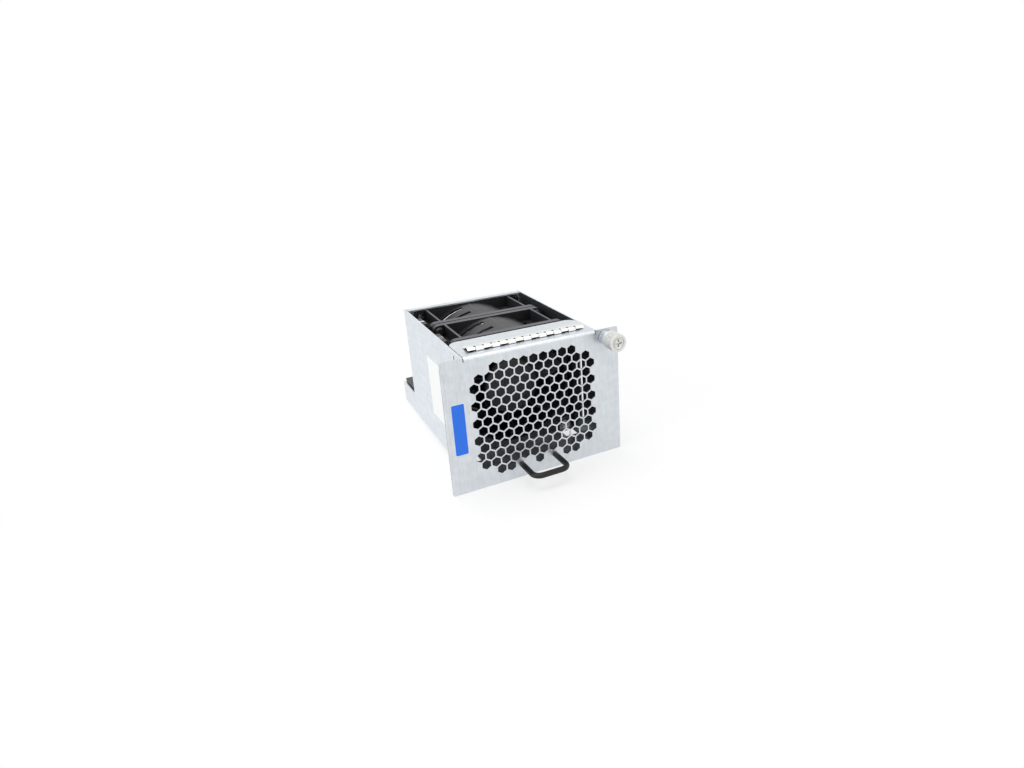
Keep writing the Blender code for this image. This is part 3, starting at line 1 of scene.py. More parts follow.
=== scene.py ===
"""Looks of the switch fan tray: finishes, the detailed moving pieces, labels and a pale studio.

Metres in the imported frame: +Z up, the panel faces -Y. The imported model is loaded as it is; finishes
go on its nodes, the front panel's grille is cut anew, and the knob, the screw, the impellers and the
cords are replaced by pieces worked out here from formulas.
"""

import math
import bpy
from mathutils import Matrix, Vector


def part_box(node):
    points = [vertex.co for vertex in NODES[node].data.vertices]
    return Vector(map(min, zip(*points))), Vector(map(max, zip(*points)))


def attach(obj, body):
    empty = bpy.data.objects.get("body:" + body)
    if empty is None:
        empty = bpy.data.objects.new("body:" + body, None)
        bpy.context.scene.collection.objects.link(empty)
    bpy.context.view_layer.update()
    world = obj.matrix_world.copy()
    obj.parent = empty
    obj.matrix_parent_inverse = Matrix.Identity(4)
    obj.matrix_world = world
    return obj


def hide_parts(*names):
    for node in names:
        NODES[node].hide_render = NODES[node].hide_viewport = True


bl_info = {
    "name": "Switch fan tray",
    "version": (1, 0, 0),
    "blender": (4, 5, 0),
    "location": "3D View > Sidebar > Fan Tray",
    "description": "Dresses the fan tray: zinc sheet, fans, captive screw, labels and a pale studio",
    "category": "Object",
}

import bmesh
import bpy
import numpy as np
from mathutils import Matrix, Vector

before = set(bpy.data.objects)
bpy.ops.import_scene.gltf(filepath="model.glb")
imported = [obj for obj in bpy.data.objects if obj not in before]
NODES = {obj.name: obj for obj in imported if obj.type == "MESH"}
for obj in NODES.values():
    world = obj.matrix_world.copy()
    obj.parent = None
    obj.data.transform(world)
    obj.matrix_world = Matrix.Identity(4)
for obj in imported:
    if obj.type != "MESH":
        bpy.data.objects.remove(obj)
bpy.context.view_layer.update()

PANEL_LOW, PANEL_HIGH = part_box("front_panel")
TUB_LOW, TUB_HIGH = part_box("chassis_tub")
PANEL_FRONT = PANEL_LOW.y
PANEL_HEIGHT = PANEL_HIGH.z

# Mesh points closer than this are one point
WELD = 0.000002
# A turned surface ends at its axis in a cap of this radius
POLE = 0.00002


# Meshes from whole arrays


def mesh_piece(name, points, faces, smooth=True):
    """An object from an array of points and a list of faces, its place in its mesh."""
    mesh = bpy.data.meshes.new(name)
    mesh.from_pydata(np.asarray(points, float).reshape(-1, 3).tolist(), [], faces)
    mesh.validate()
    mesh.update()
    if smooth:
        mesh.shade_smooth()
    obj = bpy.data.objects.new(name, mesh)
    bpy.context.scene.collection.objects.link(obj)
    return obj


def capped_faces(rows, columns, start=0):
    """Faces of a tube of rows and columns of points: quads round it and flat caps on both its ends."""
    i = np.arange(rows - 1)[:, None]
    j = np.arange(columns)[None, :]
    below, right = i + 1, (j + 1) % columns
    corners = (i * columns + j, i * columns + right, below * columns + right, below * columns + j)
    quads = np.stack([np.broadcast_to(c, (i.size, j.size)) for c in corners], axis=-1)
    first = np.arange(columns)[::-1]
    last = np.arange((rows - 1) * columns, rows * columns)
    return (quads.reshape(-1, 4) + start).tolist() + [(first + start).tolist(), (last + start).tolist()]


def capped_grid(name, points):
    """A closed piece from rows of points round a line, the first and the last row with flat caps."""
    rows, columns, _ = points.shape
    return outward(mesh_piece(name, points, capped_faces(rows, columns)))


def outward(obj):
    """Turns all faces of a closed piece outwards."""
    bm = bmesh.new()
    bm.from_mesh(obj.data)
    bmesh.ops.recalc_face_normals(bm, faces=bm.faces)
    bm.to_mesh(obj.data)
    bm.free()
    return obj


def about_y(radius, angle, height, centre):
    """Points at a radius and an angle round a line along Y through the centre; height runs towards -Y."""
    x = centre[0] + radius * np.cos(angle)
    z = centre[2] + radius * np.sin(angle)
    y = centre[1] - height + 0 * angle
    return np.stack(np.broadcast_arrays(x, y, z), axis=-1)


def smoothstep(low, high, value):
    """0 below low, 1 above high, and a smooth cubic between."""
    t = np.clip((value - low) / (high - low), 0, 1)
    return t * t * (3 - 2 * t)


def shade_by_angle(obj, degrees=35):
    """Smooth shading with sharp edges where faces meet at more than the angle."""
    mesh = obj.data
    mesh.shade_smooth()
    mesh.set_sharp_from_angle(angle=math.radians(degrees))
    return obj


# Finishes


class Finish:
    """A material under construction: its shader and short ways to add the nodes that feed it."""

    def __init__(self, name, color, roughness, metallic=0.0):
        self.material = bpy.data.materials.new(name)
        self.material.use_nodes = True
        self.tree = self.material.node_tree
        self.shader = self.tree.nodes["Principled BSDF"]
        self.shader.inputs["Base Color"].default_value = (*color, 1)
        self.shader.inputs["Roughness"].default_value = roughness
        self.shader.inputs["Metallic"].default_value = metallic
        self.coordinates = self.tree.nodes.new("ShaderNodeTexCoord")

    def node(self, kind, **inputs):
        made = self.tree.nodes.new(kind)
        for name, value in inputs.items():
            made.inputs[name.replace("_", " ")].default_value = value
        return made

    def link(self, output, target):
        self.tree.links.new(output, target)

    def noise(self, scale, detail=3.0, stretch=(1, 1, 1), roughness=0.5):
        """Noise on Object coordinates, stretched by a mapping."""
        mapping = self.node("ShaderNodeMapping")
        mapping.inputs["Scale"].default_value = stretch
        self.link(self.coordinates.outputs["Object"], mapping.inputs["Vector"])
        noise = self.node("ShaderNodeTexNoise", Scale=scale, Detail=detail, Roughness=roughness)
        self.link(mapping.outputs["Vector"], noise.inputs["Vector"])
        return noise.outputs["Fac"]

    def ramp(self, value, low_color, high_color, low=0.3, high=0.7):
        ramp = self.node("ShaderNodeValToRGB")
        stops = ramp.color_ramp.elements
        stops[0].position, stops[1].position = low, high
        stops[0].color, stops[1].color = (*low_color, 1), (*high_color, 1)
        self.link(value, ramp.inputs["Fac"])
        return ramp.outputs["Color"]

    def spread(self, value, low, high):
        """A value from 0 to 1 spread over a range."""
        made = self.node("ShaderNodeMapRange")
        made.inputs["To Min"].default_value = low
        made.inputs["To Max"].default_value = high
        self.link(value, made.inputs["Value"])
        return made.outputs["Result"]

    def mask(self, vector, axis, low, high, fade=0.0001):
        """1 where a component of the vector lies between low and high, 0 outside, with soft sides."""
        parts = self.node("ShaderNodeSeparateXYZ")
        self.link(vector, parts.inputs["Vector"])
        sides = []
        for edge, step in ((low, fade), (high, -fade)):
            side = self.node("ShaderNodeMapRange")
            side.inputs["From Min"].default_value = edge - step / 2
            side.inputs["From Max"].default_value = edge + step / 2
            self.link(parts.outputs[axis], side.inputs["Value"])
            sides.append(side.outputs["Result"])
        return self.product(*sides)

    def product(self, first, second):
        both = self.node("ShaderNodeMath")
        both.operation = "MULTIPLY"
        self.link(first, both.inputs[0])
        self.link(second, both.inputs[1])
        return both.outputs["Value"]

    def where(self, places):
        """1 where every one of the places holds; what is "place" or "normal", both in the frame."""
        total = None
        for what, axis, low, high in places:
            if what == "normal":
                vector = self.node("ShaderNodeNewGeometry").outputs["True Normal"]
            else:
                vector = self.coordinates.outputs["Object"]
            found = self.mask(vector, axis, low, high)
            total = found if total is None else self.product(total, found)
        return total

    def tinted(self, color, factor, mask):
        """The color times a factor per channel where the mask is 1."""
        mix = self.node("ShaderNodeMix")
        mix.data_type = "RGBA"
        mix.blend_type = "MULTIPLY"
        mix.clamp_result = False
        self.link(mask, mix.inputs["Factor"])
        self.link(color, mix.inputs["A"])
        mix.inputs["B"].default_value = (*factor, 1)
        return mix.outputs["Result"]

    def shaded(self, color, shades):
        """The color with shades: each is a factor and the places it covers, as (what, axis, low, high)."""
        for factor, places in shades:
            color = self.tinted(color, factor, self.where(places))
        return color

    def bump(self, value, distance, strength=1.0):
        bump = self.node("ShaderNodeBump", Strength=strength, Distance=distance)
        self.link(value, bump.inputs["Height"])
        self.link(bump.outputs["Normal"], self.shader.inputs["Normal"])

    def color_from(self, output):
        self.link(output, self.shader.inputs["Base Color"])

    def roughness_from(self, output):
        self.link(output, self.shader.inputs["Roughness"])


def scaled(color, factor):
    """The color times a factor, held at 1."""
    return tuple(min(1.0, c * factor) for c in color)


def zinc(name, color, grain, roughness, shades=()):
    """Plated sheet: streaks along the grain, soft crystal patches, and shades where they are asked for."""
    finish = Finish(name, color, roughness, 0.9)
    streaks = finish.noise(1.0, 4, grain, 0.6)
    patches = finish.noise(230, 2)
    tone = finish.ramp(streaks, scaled(color, 0.85), scaled(color, 1.12), 0.25, 0.75)
    patch = finish.ramp(patches, scaled(color, 0.90), scaled(color, 1.08), 0.35, 0.65)
    half = finish.node("ShaderNodeMix")
    half.data_type = "RGBA"
    half.inputs["Factor"].default_value = 0.45
    finish.link(tone, half.inputs["A"])
    finish.link(patch, half.inputs["B"])
    finish.color_from(finish.shaded(half.outputs["Result"], shades))
    finish.roughness_from(finish.spread(streaks, roughness - 0.08, roughness + 0.10))
    finish.bump(streaks, 0.00002, 0.5)
    return finish.material


def bright_metal(name, color, roughness, scale=900, shades=()):
    """Turned or rolled bright metal with fine tool marks, and shades where they are asked for."""
    finish = Finish(name, color, roughness, 1.0)
    marks = finish.noise(scale, 3)
    finish.color_from(finish.shaded(finish.ramp(marks, scaled(color, 0.92), scaled(color, 1.05)), shades))
    finish.roughness_from(finish.spread(marks, roughness - 0.06, roughness + 0.08))
    return finish.material


def moulded(name, color, roughness, scale=1500, depth=0.00003, shades=()):
    """Moulded plastic: a fine spark texture, a slightly uneven gloss, and shades where they are asked for."""
    finish = Finish(name, color, roughness)
    texture = finish.noise(scale, 4)
    clouds = finish.noise(60, 2)
    finish.color_from(finish.shaded(finish.ramp(clouds, scaled(color, 0.85), scaled(color, 1.2)), shades))
    finish.roughness_from(finish.spread(clouds, roughness - 0.06, roughness + 0.08))
    finish.bump(texture, depth, 0.6)
    return finish.material


def coated(name, color, roughness):
    """A rod coating with a fine orange peel and a clear sheen."""
    finish = Finish(name, color, roughness, 0.2)
    peel = finish.noise(700, 3)
    finish.color_from(finish.ramp(peel, scaled(color, 0.8), scaled(color, 1.3)))
    finish.shader.inputs["Coat Weight"].default_value = 0.18
    finish.shader.inputs["Coat Roughness"].default_value = 0.25
    finish.shader.inputs["Specular IOR Level"].default_value = 0.35
    finish.bump(peel, 0.00004, 0.5)
    return finish.material


def laminated(name, color):
    """Stacked sheet seen from the side: thin darker lines across Y."""
    finish = Finish(name, color, 0.5, 0.7)
    wave = finish.node("ShaderNodeTexWave", Scale=320)
    wave.bands_direction = "Y"
    finish.link(finish.coordinates.outputs["Object"], wave.inputs["Vector"])
    finish.color_from(finish.ramp(wave.outputs["Fac"], scaled(color, 0.6), scaled(color, 1.2)))
    finish.bump(wave.outputs["Fac"], 0.00004)
    return finish.material


def board_finish(name, color):
    """Solder mask over copper: paler tracks from a brick pattern."""
    finish = Finish(name, color, 0.35)
    tracks = finish.node("ShaderNodeTexBrick", Scale=420, Mortar_Size=0.06, Brick_Width=1.7, Row_Height=0.35)
    tracks.inputs["Color1"].default_value = (*color, 1)
    tracks.inputs["Color2"].default_value = (*scaled(color, 0.85), 1)
    tracks.inputs["Mortar"].default_value = (*scaled(color, 1.7), 1)
    finish.link(finish.coordinates.outputs["Object"], tracks.inputs["Vector"])
    finish.color_from(tracks.outputs["Color"])
    return finish.material


def sleeved(name, color):
    """Expandable sleeve: crossing threads as a fine checker."""
    finish = Finish(name, color, 0.6)
    weave = finish.node("ShaderNodeTexChecker", Scale=1600)
    finish.link(finish.coordinates.outputs["Object"], weave.inputs["Vector"])
    finish.color_from(finish.ramp(weave.outputs["Fac"], scaled(color, 0.6), scaled(color, 1.6)))
    finish.bump(weave.outputs["Fac"], 0.00006, 0.7)
    return finish.material


def paper(name, color, roughness):
    """A bare adhesive label: fine fibre and a faint unevenness."""
    finish = Finish(name, color, roughness)
    fibre = finish.noise(1200, 3)
    finish.color_from(finish.ramp(fibre, scaled(color, 0.96), scaled(color, 1.03)))
    finish.bump(fibre, 0.00001, 0.4)
    return finish.material


def assign(obj, material):
    """Puts the material in every slot of an object."""
    if not obj.material_slots:
        obj.data.materials.append(material)
    for slot in obj.material_slots:
        slot.material = material
    return obj


def dress(material, *names):
    """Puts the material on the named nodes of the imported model."""
    for name in names:
        assign(NODES[name], material)


def round_shading():
    """Nodes that join loose triangles and shade them smoothly, with edges over 32 degrees kept sharp."""
    group = bpy.data.node_groups.new("round_shading", "GeometryNodeTree")
    group.interface.new_socket("Geometry", in_out="INPUT", socket_type="NodeSocketGeometry")
    group.interface.new_socket("Geometry", in_out="OUTPUT", socket_type="NodeSocketGeometry")
    given, shown = group.nodes.new("NodeGroupInput"), group.nodes.new("NodeGroupOutput")
    plain = group.nodes.new("GeometryNodeRemoveAttribute")
    plain.inputs["Name"].default_value = "custom_normal"
    merge = group.nodes.new("GeometryNodeMergeByDistance")
    merge.inputs["Distance"].default_value = WELD
    faces = group.nodes.new("GeometryNodeSetShadeSmooth")
    angle = group.nodes.new("GeometryNodeInputMeshEdgeAngle")
    gentle = group.nodes.new("FunctionNodeCompare")
    gentle.operation = "LESS_THAN"
    gentle.inputs["B"].default_value = math.radians(32)
    edges = group.nodes.new("GeometryNodeSetShadeSmooth")
    edges.domain = "EDGE"
    for output, target in (
        (given.outputs["Geometry"], plain.inputs["Geometry"]),
        (plain.outputs["Geometry"], merge.inputs["Geometry"]),
        (merge.outputs["Geometry"], faces.inputs["Geometry"]),
        (faces.outputs["Geometry"], edges.inputs["Geometry"]),
        (angle.outputs["Unsigned Angle"], gentle.inputs["A"]),
        (gentle.outputs["Result"], edges.inputs["Shade Smooth"]),
        (edges.outputs["Geometry"], shown.inputs["Geometry"]),
    ):
        group.links.new(output, target)
    return group


def shade_round(*names):
    """Smooth shading for named nodes by a modifier, so that their meshes stay as imported."""
    group = bpy.data.node_groups.get("round_shading") or round_shading()
    for name in names:
        NODES[name].modifiers.new("round_shading", "NODES").node_group = group


# Values that a user would change


class FanTrayColours(bpy.types.PropertyGroup):
    """Colours of the finishes, as linear values."""

    panel: bpy.props.FloatVectorProperty(
        name="Panel",
        description="Zinc of the front panel",
        default=(0.655, 0.690, 0.725),
        subtype="COLOR",
    )
    walls: bpy.props.FloatVectorProperty(
        name="Walls",
        description="Zinc of the tray",
        default=(0.70, 0.745, 0.79),
        subtype="COLOR",
    )
    fan_frame: bpy.props.FloatVectorProperty(
        name="Fan frames",
        description="Moulded frames of the fans",
        default=(0.012, 0.012, 0.014),
        subtype="COLOR",
    )
    impeller: bpy.props.FloatVectorProperty(
        name="Impellers",
        description="Moulded hubs and blades",
        default=(0.009, 0.009, 0.010),
        subtype="COLOR",
    )
    handle: bpy.props.FloatVectorProperty(
        name="Handle",
        description="Coating of the pull handle",
        default=(0.006, 0.005, 0.005),
        subtype="COLOR",
    )
    knob: bpy.props.FloatVectorProperty(
        name="Knob",
        description="Nickel of the captive screw",
        default=(0.71, 0.71, 0.69),
        subtype="COLOR",
    )
    panel_label: bpy.props.FloatVectorProperty(
        name="Panel label",
        description="Bare label on the panel",
        default=(0.004, 0.155, 0.80),
        subtype="COLOR",
    )
    side_label: bpy.props.FloatVectorProperty(
        name="Side label",
        description="Bare label on the left wall",
        default=(0.84, 0.85, 0.85),
        subtype="COLOR",
    )


class FanTraySizes(bpy.types.PropertyGroup):
    """Sizes of the pieces that are made here."""

    hexagon: bpy.props.FloatProperty(
        name="Hexagon",
        description="Grille hole across its flats",
        default=0.0056,
        unit="LENGTH",
    )
    hexagon_pitch: bpy.props.FloatProperty(
        name="Hexagon pitch",
        description="Distance between neighbouring grille holes",
        default=0.0065,
        unit="LENGTH",
    )
    label_thickness: bpy.props.FloatProperty(
        name="Label thickness",
        description="Thickness of an adhesive label",
        default=0.00012,
        unit="LENGTH",
    )
    label_corner: bpy.props.FloatProperty(
        name="Label corner",
        description="Corner radius of the labels",
        default=0.0008,
        unit="LENGTH",
    )
    knurl_depth: bpy.props.FloatProperty(
        name="Knurl depth",
        description="Depth of the knob's flutes",
        default=0.00022,
        unit="LENGTH",
    )
    knurl_count: bpy.props.IntProperty(
        name="Flutes",
        description="Number of flutes round the knob",
        default=40,
    )
    thread_pitch: bpy.props.FloatProperty(
        name="Thread pitch",
        description="Pitch of the captive screw's thread",
        default=0.0007,
        unit="LENGTH",
    )
    blade_thickness: bpy.props.FloatProperty(
        name="Blade thickness",
        description="Greatest thickness of a fan blade",
        default=0.0017,
        unit="LENGTH",
    )


def colours():
    return bpy.context.scene.fan_tray_colours


def sizes():
    return bpy.context.scene.fan_tray_sizes


# Camera and studio

CAMERA_PLACE = Vector((-0.1582, -0.4304, 0.2225))
CAMERA_RIGHT = Vector((0.8720, -0.4881, -0.0373))
CAMERA_UP = Vector((0.1892, 0.2657, 0.9453))
CAMERA_BACK = Vector((-0.4515, -0.8314, 0.3241))
CAMERA_LENS = 24.39
CAMERA_SHIFT_X = -0.0769
CAMERA_SHIFT_Y = -0.0429
FILL_STRENGTH = 0.62
# The floor's gap below the tray, its share of plain white there, and where that share starts and ends
# its growth to 1
FLOOR_GAP = 0.0001
FLOOR_WHITENESS = 0.6
FLOOR_FADE_FROM = 0.10
FLOOR_FADE_TO = 0.30


def area_light(name, place, target, size, power):
    """A square light of a size and a power in watts, turned to its target."""
    data = bpy.data.lights.new(name, "AREA")
    data.shape = "SQUARE"
    data.size = size
    data.energy = power
    light = bpy.data.objects.new(name, data)
    light.location = place
    light.rotation_euler = (Vector(target) - Vector(place)).to_track_quat("-Z", "Y").to_euler()
    bpy.context.scene.collection.objects.link(light)


def pale_world():
    """White for camera, reflection and transmission rays, and a softer fill for diffuse light."""
    world = bpy.data.worlds.new("studio")
    world.use_nodes = True
    bpy.context.scene.world = world
    tree = world.node_tree
    background = tree.nodes["Background"]
    background.inputs["Color"].default_value = (1, 1, 1, 1)
    path = tree.nodes.new("ShaderNodeLightPath")
    seen = tree.nodes.new("ShaderNodeMath")
    seen.operation = "MAXIMUM"
    tree.links.new(path.outputs["Is Camera Ray"], seen.inputs[0])
    tree.links.new(path.outputs["Is Glossy Ray"], seen.inputs[1])
    through = tree.nodes.new("ShaderNodeMath")
    through.operation = "MAXIMUM"
    tree.links.new(seen.outputs[0], through.inputs[0])
    tree.links.new(path.outputs["Is Transmission Ray"], through.inputs[1])
    strength = tree.nodes.new("ShaderNodeMapRange")
    strength.inputs["To Min"].default_value = FILL_STRENGTH
    strength.inputs["To Max"].default_value = 1.0
    tree.links.new(through.outputs[0], strength.inputs["Value"])
    tree.links.new(strength.outputs["Result"], background.inputs["Strength"])


def pale_floor():
    """A plain floor that fades to white away from the tray; it leans so that panel and tail both touch it."""
    half = 3.0
    lean = TUB_LOW.z / (TUB_HIGH.y - PANEL_FRONT)
    corners = np.array([[-half, -half], [half, -half], [half, half], [-half, half]])
    heights = (corners[:, 1] - PANEL_FRONT) * lean - FLOOR_GAP
    floor = mesh_piece("floor", np.column_stack([corners, heights]), [[0, 1, 2, 3]], smooth=False)
    finish = Finish("pale_floor", (0.93, 0.93, 0.93), 0.7)
    grain = finish.noise(40, 2)
    finish.roughness_from(finish.spread(grain, 0.65, 0.75))
    distance = finish.node("ShaderNodeVectorMath")
    distance.operation = "LENGTH"
    finish.link(finish.coordinates.outputs["Object"], distance.inputs[0])
    fade = finish.node("ShaderNodeMapRange")
    fade.interpolation_type = "SMOOTHSTEP"
    fade.inputs["From Min"].default_value = FLOOR_FADE_FROM
    fade.inputs["From Max"].default_value = FLOOR_FADE_TO
    fade.inputs["To Min"].default_value = FLOOR_WHITENESS
    finish.link(distance.outputs["Value"], fade.inputs["Value"])
    white = finish.node("ShaderNodeEmission")
    mix = finish.node("ShaderNodeMixShader")
    finish.link(fade.outputs["Result"], mix.inputs["Fac"])
    finish.link(finish.shader.outputs["BSDF"], mix.inputs[1])
    finish.link(white.outputs["Emission"], mix.inputs[2])
    finish.link(mix.outputs["Shader"], finish.tree.nodes["Material Output"].inputs["Surface"])
    assign(floor, finish.material)


class FANTRAY_OT_stage(bpy.types.Operator):
    """Adds the camera at the photograph's angle, a pale floor and soft light"""

    bl_idname = "fan_tray.stage"
    bl_label = "Stage"

    def execute(self, context):
        scene = context.scene
        data = bpy.data.cameras.new("camera")
        data.sensor_fit = "HORIZONTAL"
        data.sensor_width = 36.0
        data.lens = CAMERA_LENS
        data.shift_x = CAMERA_SHIFT_X
        data.shift_y = CAMERA_SHIFT_Y
        data.clip_start = 0.01
        camera = bpy.data.objects.new("camera", data)
        turn = Matrix((CAMERA_RIGHT, CAMERA_UP, CAMERA_BACK)).transposed()
        camera.matrix_world = Matrix.Translation(CAMERA_PLACE) @ turn.to_4x4()
        scene.collection.objects.link(camera)
        scene.camera = camera
        scene.view_settings.view_transform = "Standard"
        pale_world()
        pale_floor()
        area_light("overhead", (-0.10, 0.10, 0.95), (0, 0, 0.03), 0.9, 4.6)
        area_light("left", (-0.95, -0.10, 0.45), (0, 0, 0.04), 0.7, 3.0)
        area_light("front", (0.35, -0.95, 0.55), (0, 0, 0.04), 0.7, 1.6)
        return {"FINISHED"}


# Sheet metal

SHEET = 0.0008
UPRIGHT_GRAIN = (900, 900, 45)
LENGTHWISE_GRAIN = (700, 25, 700)
STRIP_FINGERS = 15
GRILLE_X = -0.0007
GRILLE_Z = 0.0434
GRILLE_ROWS = 6
GRILLE_COLUMNS = 6
HANDLE_COLUMNS = (1, 2)


def grille_centres(pitch):
    """Middles of the holes as an (n, 2) array in X and Z.

    Rows lie pitch * cos(30 degrees) apart and every second one is shifted by half a pitch. The
    outermost rows leave out the corners, and the lowest one also what the handle covers."""
    rows = np.arange(-GRILLE_ROWS, GRILLE_ROWS + 1)
    halves = np.arange(-2 * GRILLE_COLUMNS, 2 * GRILLE_COLUMNS + 1)
    row, half = (grid.ravel() for grid in np.meshgrid(rows, halves))
    kept = (row + half) % 2 == 0
    kept &= (abs(row) < GRILLE_ROWS) | (abs(half) < 2 * GRILLE_COLUMNS - 3)
    kept &= (row > -GRILLE_ROWS) | ~np.isin(abs(half) / 2, HANDLE_COLUMNS)
    row, half = row[kept], half[kept]
    return np.column_stack([GRILLE_X + half * pitch / 2, GRILLE_Z + row * pitch * math.cos(math.pi / 6)])


def hexagon_prisms(name, centres, across_flats, near, far):
    """Closed prisms along Y, one at each centre, with corner k at 30 + 60 k degrees from X."""
    angle = math.pi / 6 + np.arange(6) * math.pi / 3
    radius = across_flats / math.sqrt(3)
    corner = np.column_stack([np.cos(angle), np.sin(angle)]) * radius
    flat = centres[:, None, None, :] + np.broadcast_to(corner, (2, 6, 2))
    depth = np.broadcast_to(np.array([near, far])[None, :, None], flat.shape[:3])
    points = np.stack([flat[..., 0], depth, flat[..., 1]], axis=-1)
    start = 12 * np.arange(len(centres))[:, None]
    k = np.arange(6)
    side = np.stack([k, (k + 1) % 6, (k + 1) % 6 + 6, k + 6], axis=-1)
    faces = (start[:, :, None] + side).reshape(-1, 4).tolist()
    faces += (start + k[::-1]).tolist() + (start + 6 + k).tolist()
    return outward(mesh_piece(name, points, faces, smooth=False))


def panel_with_grille(pitch, across_flats):
    """The front panel's own mesh, its grille holes filled and cut anew with their flats facing."""
    centres = grille_centres(pitch)
    bm = bmesh.new()
    bm.from_mesh(NODES["front_panel"].data)
    bmesh.ops.remove_doubles(bm, verts=bm.verts, dist=WELD)
    middle = np.array([face.calc_center_median() for face in bm.faces])
    normal = np.array([face.normal for face in bm.faces])
    from_hole = np.linalg.norm(middle[:, None, [0, 2]] - centres[None], axis=-1).min(axis=1)
    inside = (abs(normal[:, 1]) < 0.1) & (from_hole < pitch / 2)
    walls = [face for face, wall in zip(bm.faces, inside) if wall]
    bmesh.ops.delete(bm, geom=walls, context="FACES_ONLY")
    bmesh.ops.holes_fill(bm, edges=[edge for edge in bm.edges if edge.is_boundary], sides=0)
    bmesh.ops.dissolve_limit(bm, angle_limit=0.001, verts=bm.verts, edges=bm.edges)
    bmesh.ops.recalc_face_normals(bm, faces=bm.faces)
    mesh = bpy.data.meshes.new("grille_panel")
    bm.to_mesh(mesh)
    bm.free()
    panel = bpy.data.objects.new("grille_panel", mesh)
    bpy.context.scene.collection.objects.link(panel)
    back, margin = PANEL_FRONT + SHEET, 0.001
    cutter = hexagon_prisms("grille_cutter", centres, across_flats, PANEL_FRONT - margin, back + margin)
    holes = panel.modifiers.new("holes", "BOOLEAN")
    holes.object = cutter
    holes.operation = "DIFFERENCE"
    holes.solver = "EXACT"
    evaluated = panel.evaluated_get(bpy.context.evaluated_depsgraph_get())
    panel.data = bpy.data.meshes.new_from_object(evaluated)
    panel.modifiers.clear()
    bpy.data.objects.remove(cutter)
    return panel


class FANTRAY_OT_sheet_metal(bpy.types.Operator):
    """Cuts the panel's grille and gives panel, tray, rear wall and spring strip their finishes"""

    bl_idname = "fan_tray.sheet_metal"
    bl_label = "Sheet metal"

    def execute(self, context):
        strip_low, strip_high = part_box("emi_strip")
        # Painted shade: the walls of the grille holes and the panel's cut edges are darkened as if in shadow
        shaded_cut_edges = [
            ("normal", "Y", -0.5, 0.5),
            ("place", "Y", PANEL_FRONT - 1, PANEL_FRONT + SHEET + 0.0001),
            ("place", "Z", 0.001, PANEL_HEIGHT - 0.004),
        ]
        # Painted shadow: the lip's top under the spring strip is darkened, so that the strip's slits and
        # raised finger ends show shadow beneath them
        painted_shadow_under_strip = [
            ("place", "X", strip_low.x + 0.0003, strip_high.x - 0.0003),
            ("place", "Y", strip_low.y, strip_high.y - 0.003),
            ("place", "Z", PANEL_HEIGHT - 0.0002, PANEL_HEIGHT + 1),
        ]
        # Painted shade: the tray's inner upright faces are darkened as if in shadow, except 3.2 mm behind the
        # panel and the last 30 mm before the tail
        shaded_inner_walls = [
            ("place", "X", TUB_LOW.x + 0.0005, TUB_HIGH.x - 0.0005),
            ("place", "Y", PANEL_FRONT + 0.0032, TUB_HIGH.y - 0.03),
            ("place", "Z", TUB_LOW.z + 0.0005, TUB_HIGH.z - 0.0003),
            ("normal", "Z", -0.5, 0.5),
        ]
        shades = [((0.44, 0.44, 0.46), shaded_cut_edges), ((0.16, 0.16, 0.17), painted_shadow_under_strip)]
        panel = zinc("panel_zinc", tuple(colours().panel), UPRIGHT_GRAIN, 0.36, shades)
        rear = zinc("rear_zinc", tuple(colours().panel), UPRIGHT_GRAIN, 0.36)
        shades = [((0.22, 0.225, 0.24), shaded_inner_walls)]
        walls = zinc("wall_zinc", tuple(colours().walls), LENGTHWISE_GRAIN, 0.34, shades)
        grille = panel_with_grille(sizes().hexagon_pitch, sizes().hexagon)
        assign(grille, panel)
        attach(grille, "tray")
        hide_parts("front_panel")
        dress(rear, "rear_panel")
        dress(walls, "chassis_tub")
        # Painted shade: every second finger of the spring strip, a low one lying on the lip, is darkened and
        # made bluer, unlike the raised ones
        finger = (strip_high.x - strip_low.x) / STRIP_FINGERS
        shaded_low_fingers = []
        for number in range(1, STRIP_FINGERS, 2):
            left, right = strip_low.x + number * finger, strip_low.x + (number + 1) * finger
            whole = ("place", "Y", strip_low.y - 0.001, strip_low.y + 0.0100)
            shaded_low_fingers.append(((0.84, 0.88, 0.96), [("place", "X", left, right), whole]))
        dress(bright_metal("strip_steel", (0.82, 0.81, 0.77), 0.34, shades=shaded_low_fingers), "emi_strip")
        dress(bright_metal("spring_steel", (0.82, 0.81, 0.77), 0.34), "screw_spring")
        steel = bright_metal("screw_steel", (0.55, 0.55, 0.56), 0.32)
        dress(steel, "handle_screw_left", "handle_screw_right", "screw_clip")
        return {"FINISHED"}


# Handle and captive screw


class FANTRAY_OT_handle(bpy.types.Operator):
    """Coats the pull handle"""

    bl_idname = "fan_tray.handle"
    bl_label = "Pull handle"

    def execute(self, context):
        dress(coated("handle_coating", tuple(colours().handle), 0.42), "pull_handle")
        return {"FINISHED"}


def slot_arm(across, along):
    """1 in one slot of the knob's cross and 0 outside it, with soft sides and ends."""
    half, reach, side_ease, end_ease = 0.00055, 0.0023, 0.0001, 0.0002
    sides = smoothstep(half + side_ease, half - side_ease, np.abs(across))
    return sides * smoothstep(reach + end_ease, reach - end_ease, np.abs(along))


